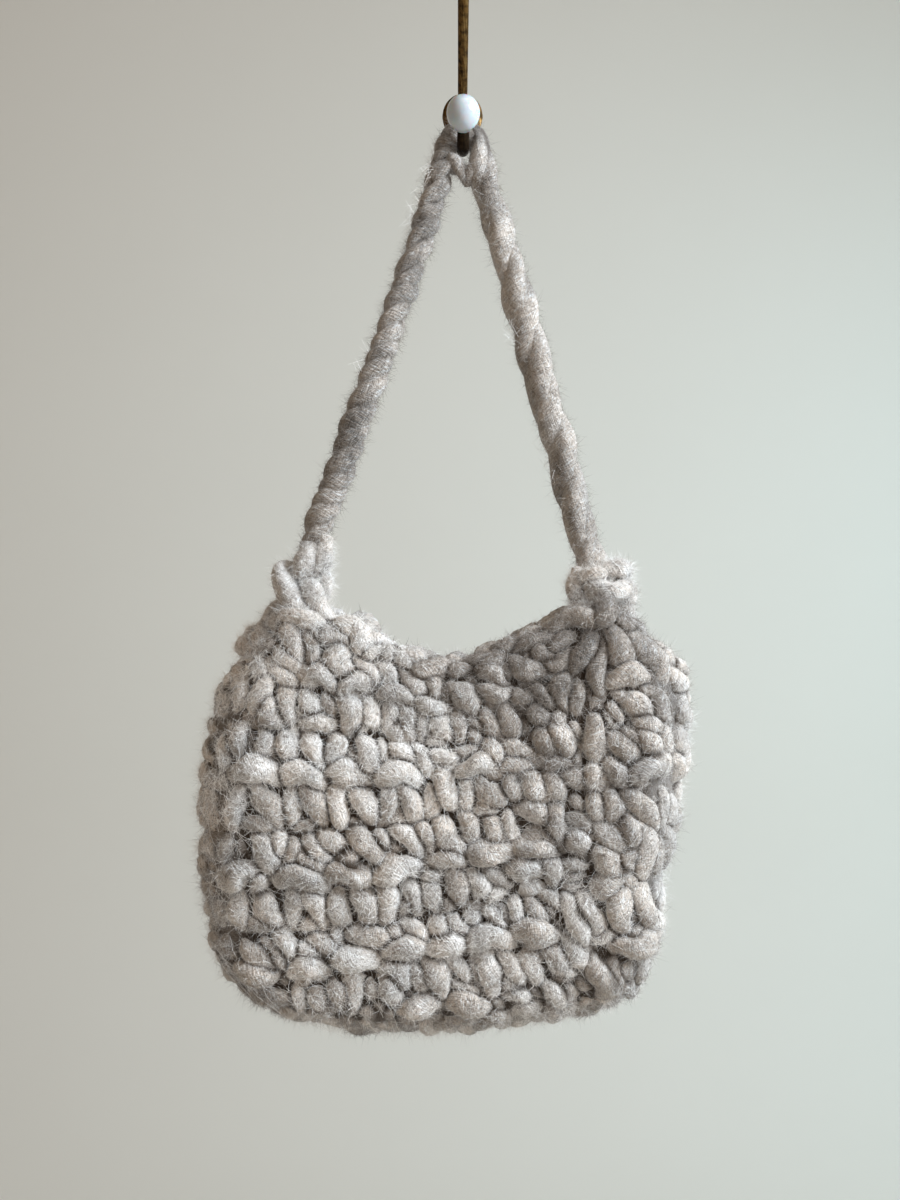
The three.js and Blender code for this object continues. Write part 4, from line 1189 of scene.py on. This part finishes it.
def wisps():
    """The hairs of all the tufts as thin closed strands."""
    t = np.linspace(0, 1, WISP_POINTS)
    lines = []
    for stitch, row, spread, length, lean, count in TUFTS:
        for _ in range(count):
            angle = math.radians(lean + rng.normal(0, 35)) + np.cumsum(rng.normal(0, 0.28, WISP_POINTS))
            step = length * rng.uniform(0.6, 1.3) / (WISP_POINTS - 1)
            at = stitch + rng.normal(0, spread * 1.3) + np.cumsum(step * np.sin(angle))
            down = row + rng.normal(0, spread * 0.5) + ROWS_A_STITCH * np.cumsum(step * np.cos(angle))
            spot, out = cloth_at(at, np.clip(down, -0.2, 3.98))
            height = rng.uniform(4, 8) * MM + rng.uniform(0, 5) * MM * t
            lines.append(spot + out * height[:, None])
    for along, side, forward, length, count in STRAP_TUFTS:
        for _ in range(count):
            far = along + rng.normal(0, 7) + length * rng.uniform(-1, 0.6) * t
            off = side * (1 + rng.uniform(0.1, 1.0) * t) + rng.normal(0, 1.5)
            lines.append(on_strap(far * MM, off * MM, (forward + rng.normal(0, 3) * (1 + t)) * MM)[0])
    middle = np.stack(lines)
    radius = np.broadcast_to(WISP_RADIUS * (1 - 0.6 * t), middle.shape[:2])
    facing = np.broadcast_to(np.array([0.1, -1.0, 0.05]), middle.shape)
    return yarn_arrays(middle, facing, radius, 1.0, rng, sides=3)


loose = wisps()
corners = np.concatenate([loose["quads"][:, [0, 1, 2]], loose["quads"][:, [0, 2, 3]], loose["tris"]])
fibre_piece("wisps", loose["verts"], corners, np.full(len(loose["verts"]), WISP_TONE))

# Stage: a plain pale floor that sweeps up behind, soft daylight from the right and a weak warm fill from the
# left. It isn't a part of the bag.
FLOOR_Z = -1.35
SWEEP_FRONT = -2.6
SWEEP_BACK = 1.9
SWEEP_TOP = 1.9
SWEEP_WIDTH = 5.2
SWEEP_BEND = 0.6
WARM_PAINT = (0.740, 0.705, 0.650, 1)
PALE_PAINT = (0.760, 0.725, 0.670, 1)
ROOM_COLOUR = (1.0, 0.81, 0.61, 1)
ROOM_STRENGTH = 0.26
sweep = bmesh.new()
turns = np.linspace(0, math.pi / 2, 13)
bend = [(SWEEP_BEND * math.sin(turn), SWEEP_BEND * math.cos(turn)) for turn in turns]
bend = [(SWEEP_BACK - SWEEP_BEND + back, FLOOR_Z + SWEEP_BEND - down) for back, down in bend]
outline = [(SWEEP_FRONT, FLOOR_Z), *bend, (SWEEP_BACK, SWEEP_TOP)]
line = [sweep.verts.new((-SWEEP_WIDTH / 2, y, z)) for y, z in outline]
edges = [sweep.edges.new(pair) for pair in zip(line, line[1:])]
drawn = bmesh.ops.extrude_edge_only(sweep, edges=edges)["geom"]
drawn_out = [part for part in drawn if isinstance(part, bmesh.types.BMVert)]
bmesh.ops.translate(sweep, vec=(SWEEP_WIDTH, 0, 0), verts=drawn_out)
bmesh.ops.recalc_face_normals(sweep, faces=sweep.faces)
paint, shader, place = new_material("pale_paint", {"Roughness": 0.9})
grain = place.noise(0.3, 2, 0.5)
wire(shader, colour=grain.mix(WARM_PAINT, PALE_PAINT))
sweep_mesh = bpy.data.meshes.new("pale_sweep")
sweep.to_mesh(sweep_mesh)
sweep.free()
sweep_mesh.shade_smooth()
sweep_mesh.materials.append(paint)
backdrop = bpy.data.objects.new("pale_sweep", sweep_mesh)
bpy.context.collection.objects.link(backdrop)

LAMPS = [
    # name, place, aimed at, width, watts, colour
    ("daylight", (1.30, -0.72, 0.36), (-0.02, -0.05, -0.38), 0.8, 59, (0.80, 0.905, 1.0)),
    ("fill", (-1.2, -1.4, 0.0), (-0.02, -0.05, -0.42), 1.2, 1.5, (1.0, 0.85, 0.72)),
    ("overhead", (0.2, -0.7, 1.3), (-0.02, -0.05, -0.42), 1.0, 4, (1.0, 0.93, 0.83)),
    ("backdrop", (1.7, 0.6, -0.1), (0.9, 1.9, -0.8), 1.4, 10, (0.42, 0.85, 1.0)),
]
for name, spot, aim, width, watts, colour in LAMPS:
    lamp = bpy.data.lights.new(name, "AREA")
    lamp.size, lamp.energy, lamp.color = width, watts, colour
    holder = bpy.data.objects.new(name, lamp)
    holder.location = spot
    way = Vector(aim) - Vector(spot)
    holder.rotation_euler = way.to_track_quat("-Z", "Y").to_euler()
    bpy.context.collection.objects.link(holder)
world = bpy.data.worlds.new("soft room")
world.use_nodes = True
room = world.node_tree.nodes["Background"].inputs
room["Color"].default_value = ROOM_COLOUR
room["Strength"].default_value = ROOM_STRENGTH
bpy.context.scene.world = world
bpy.context.scene.view_settings.view_transform = "Standard"
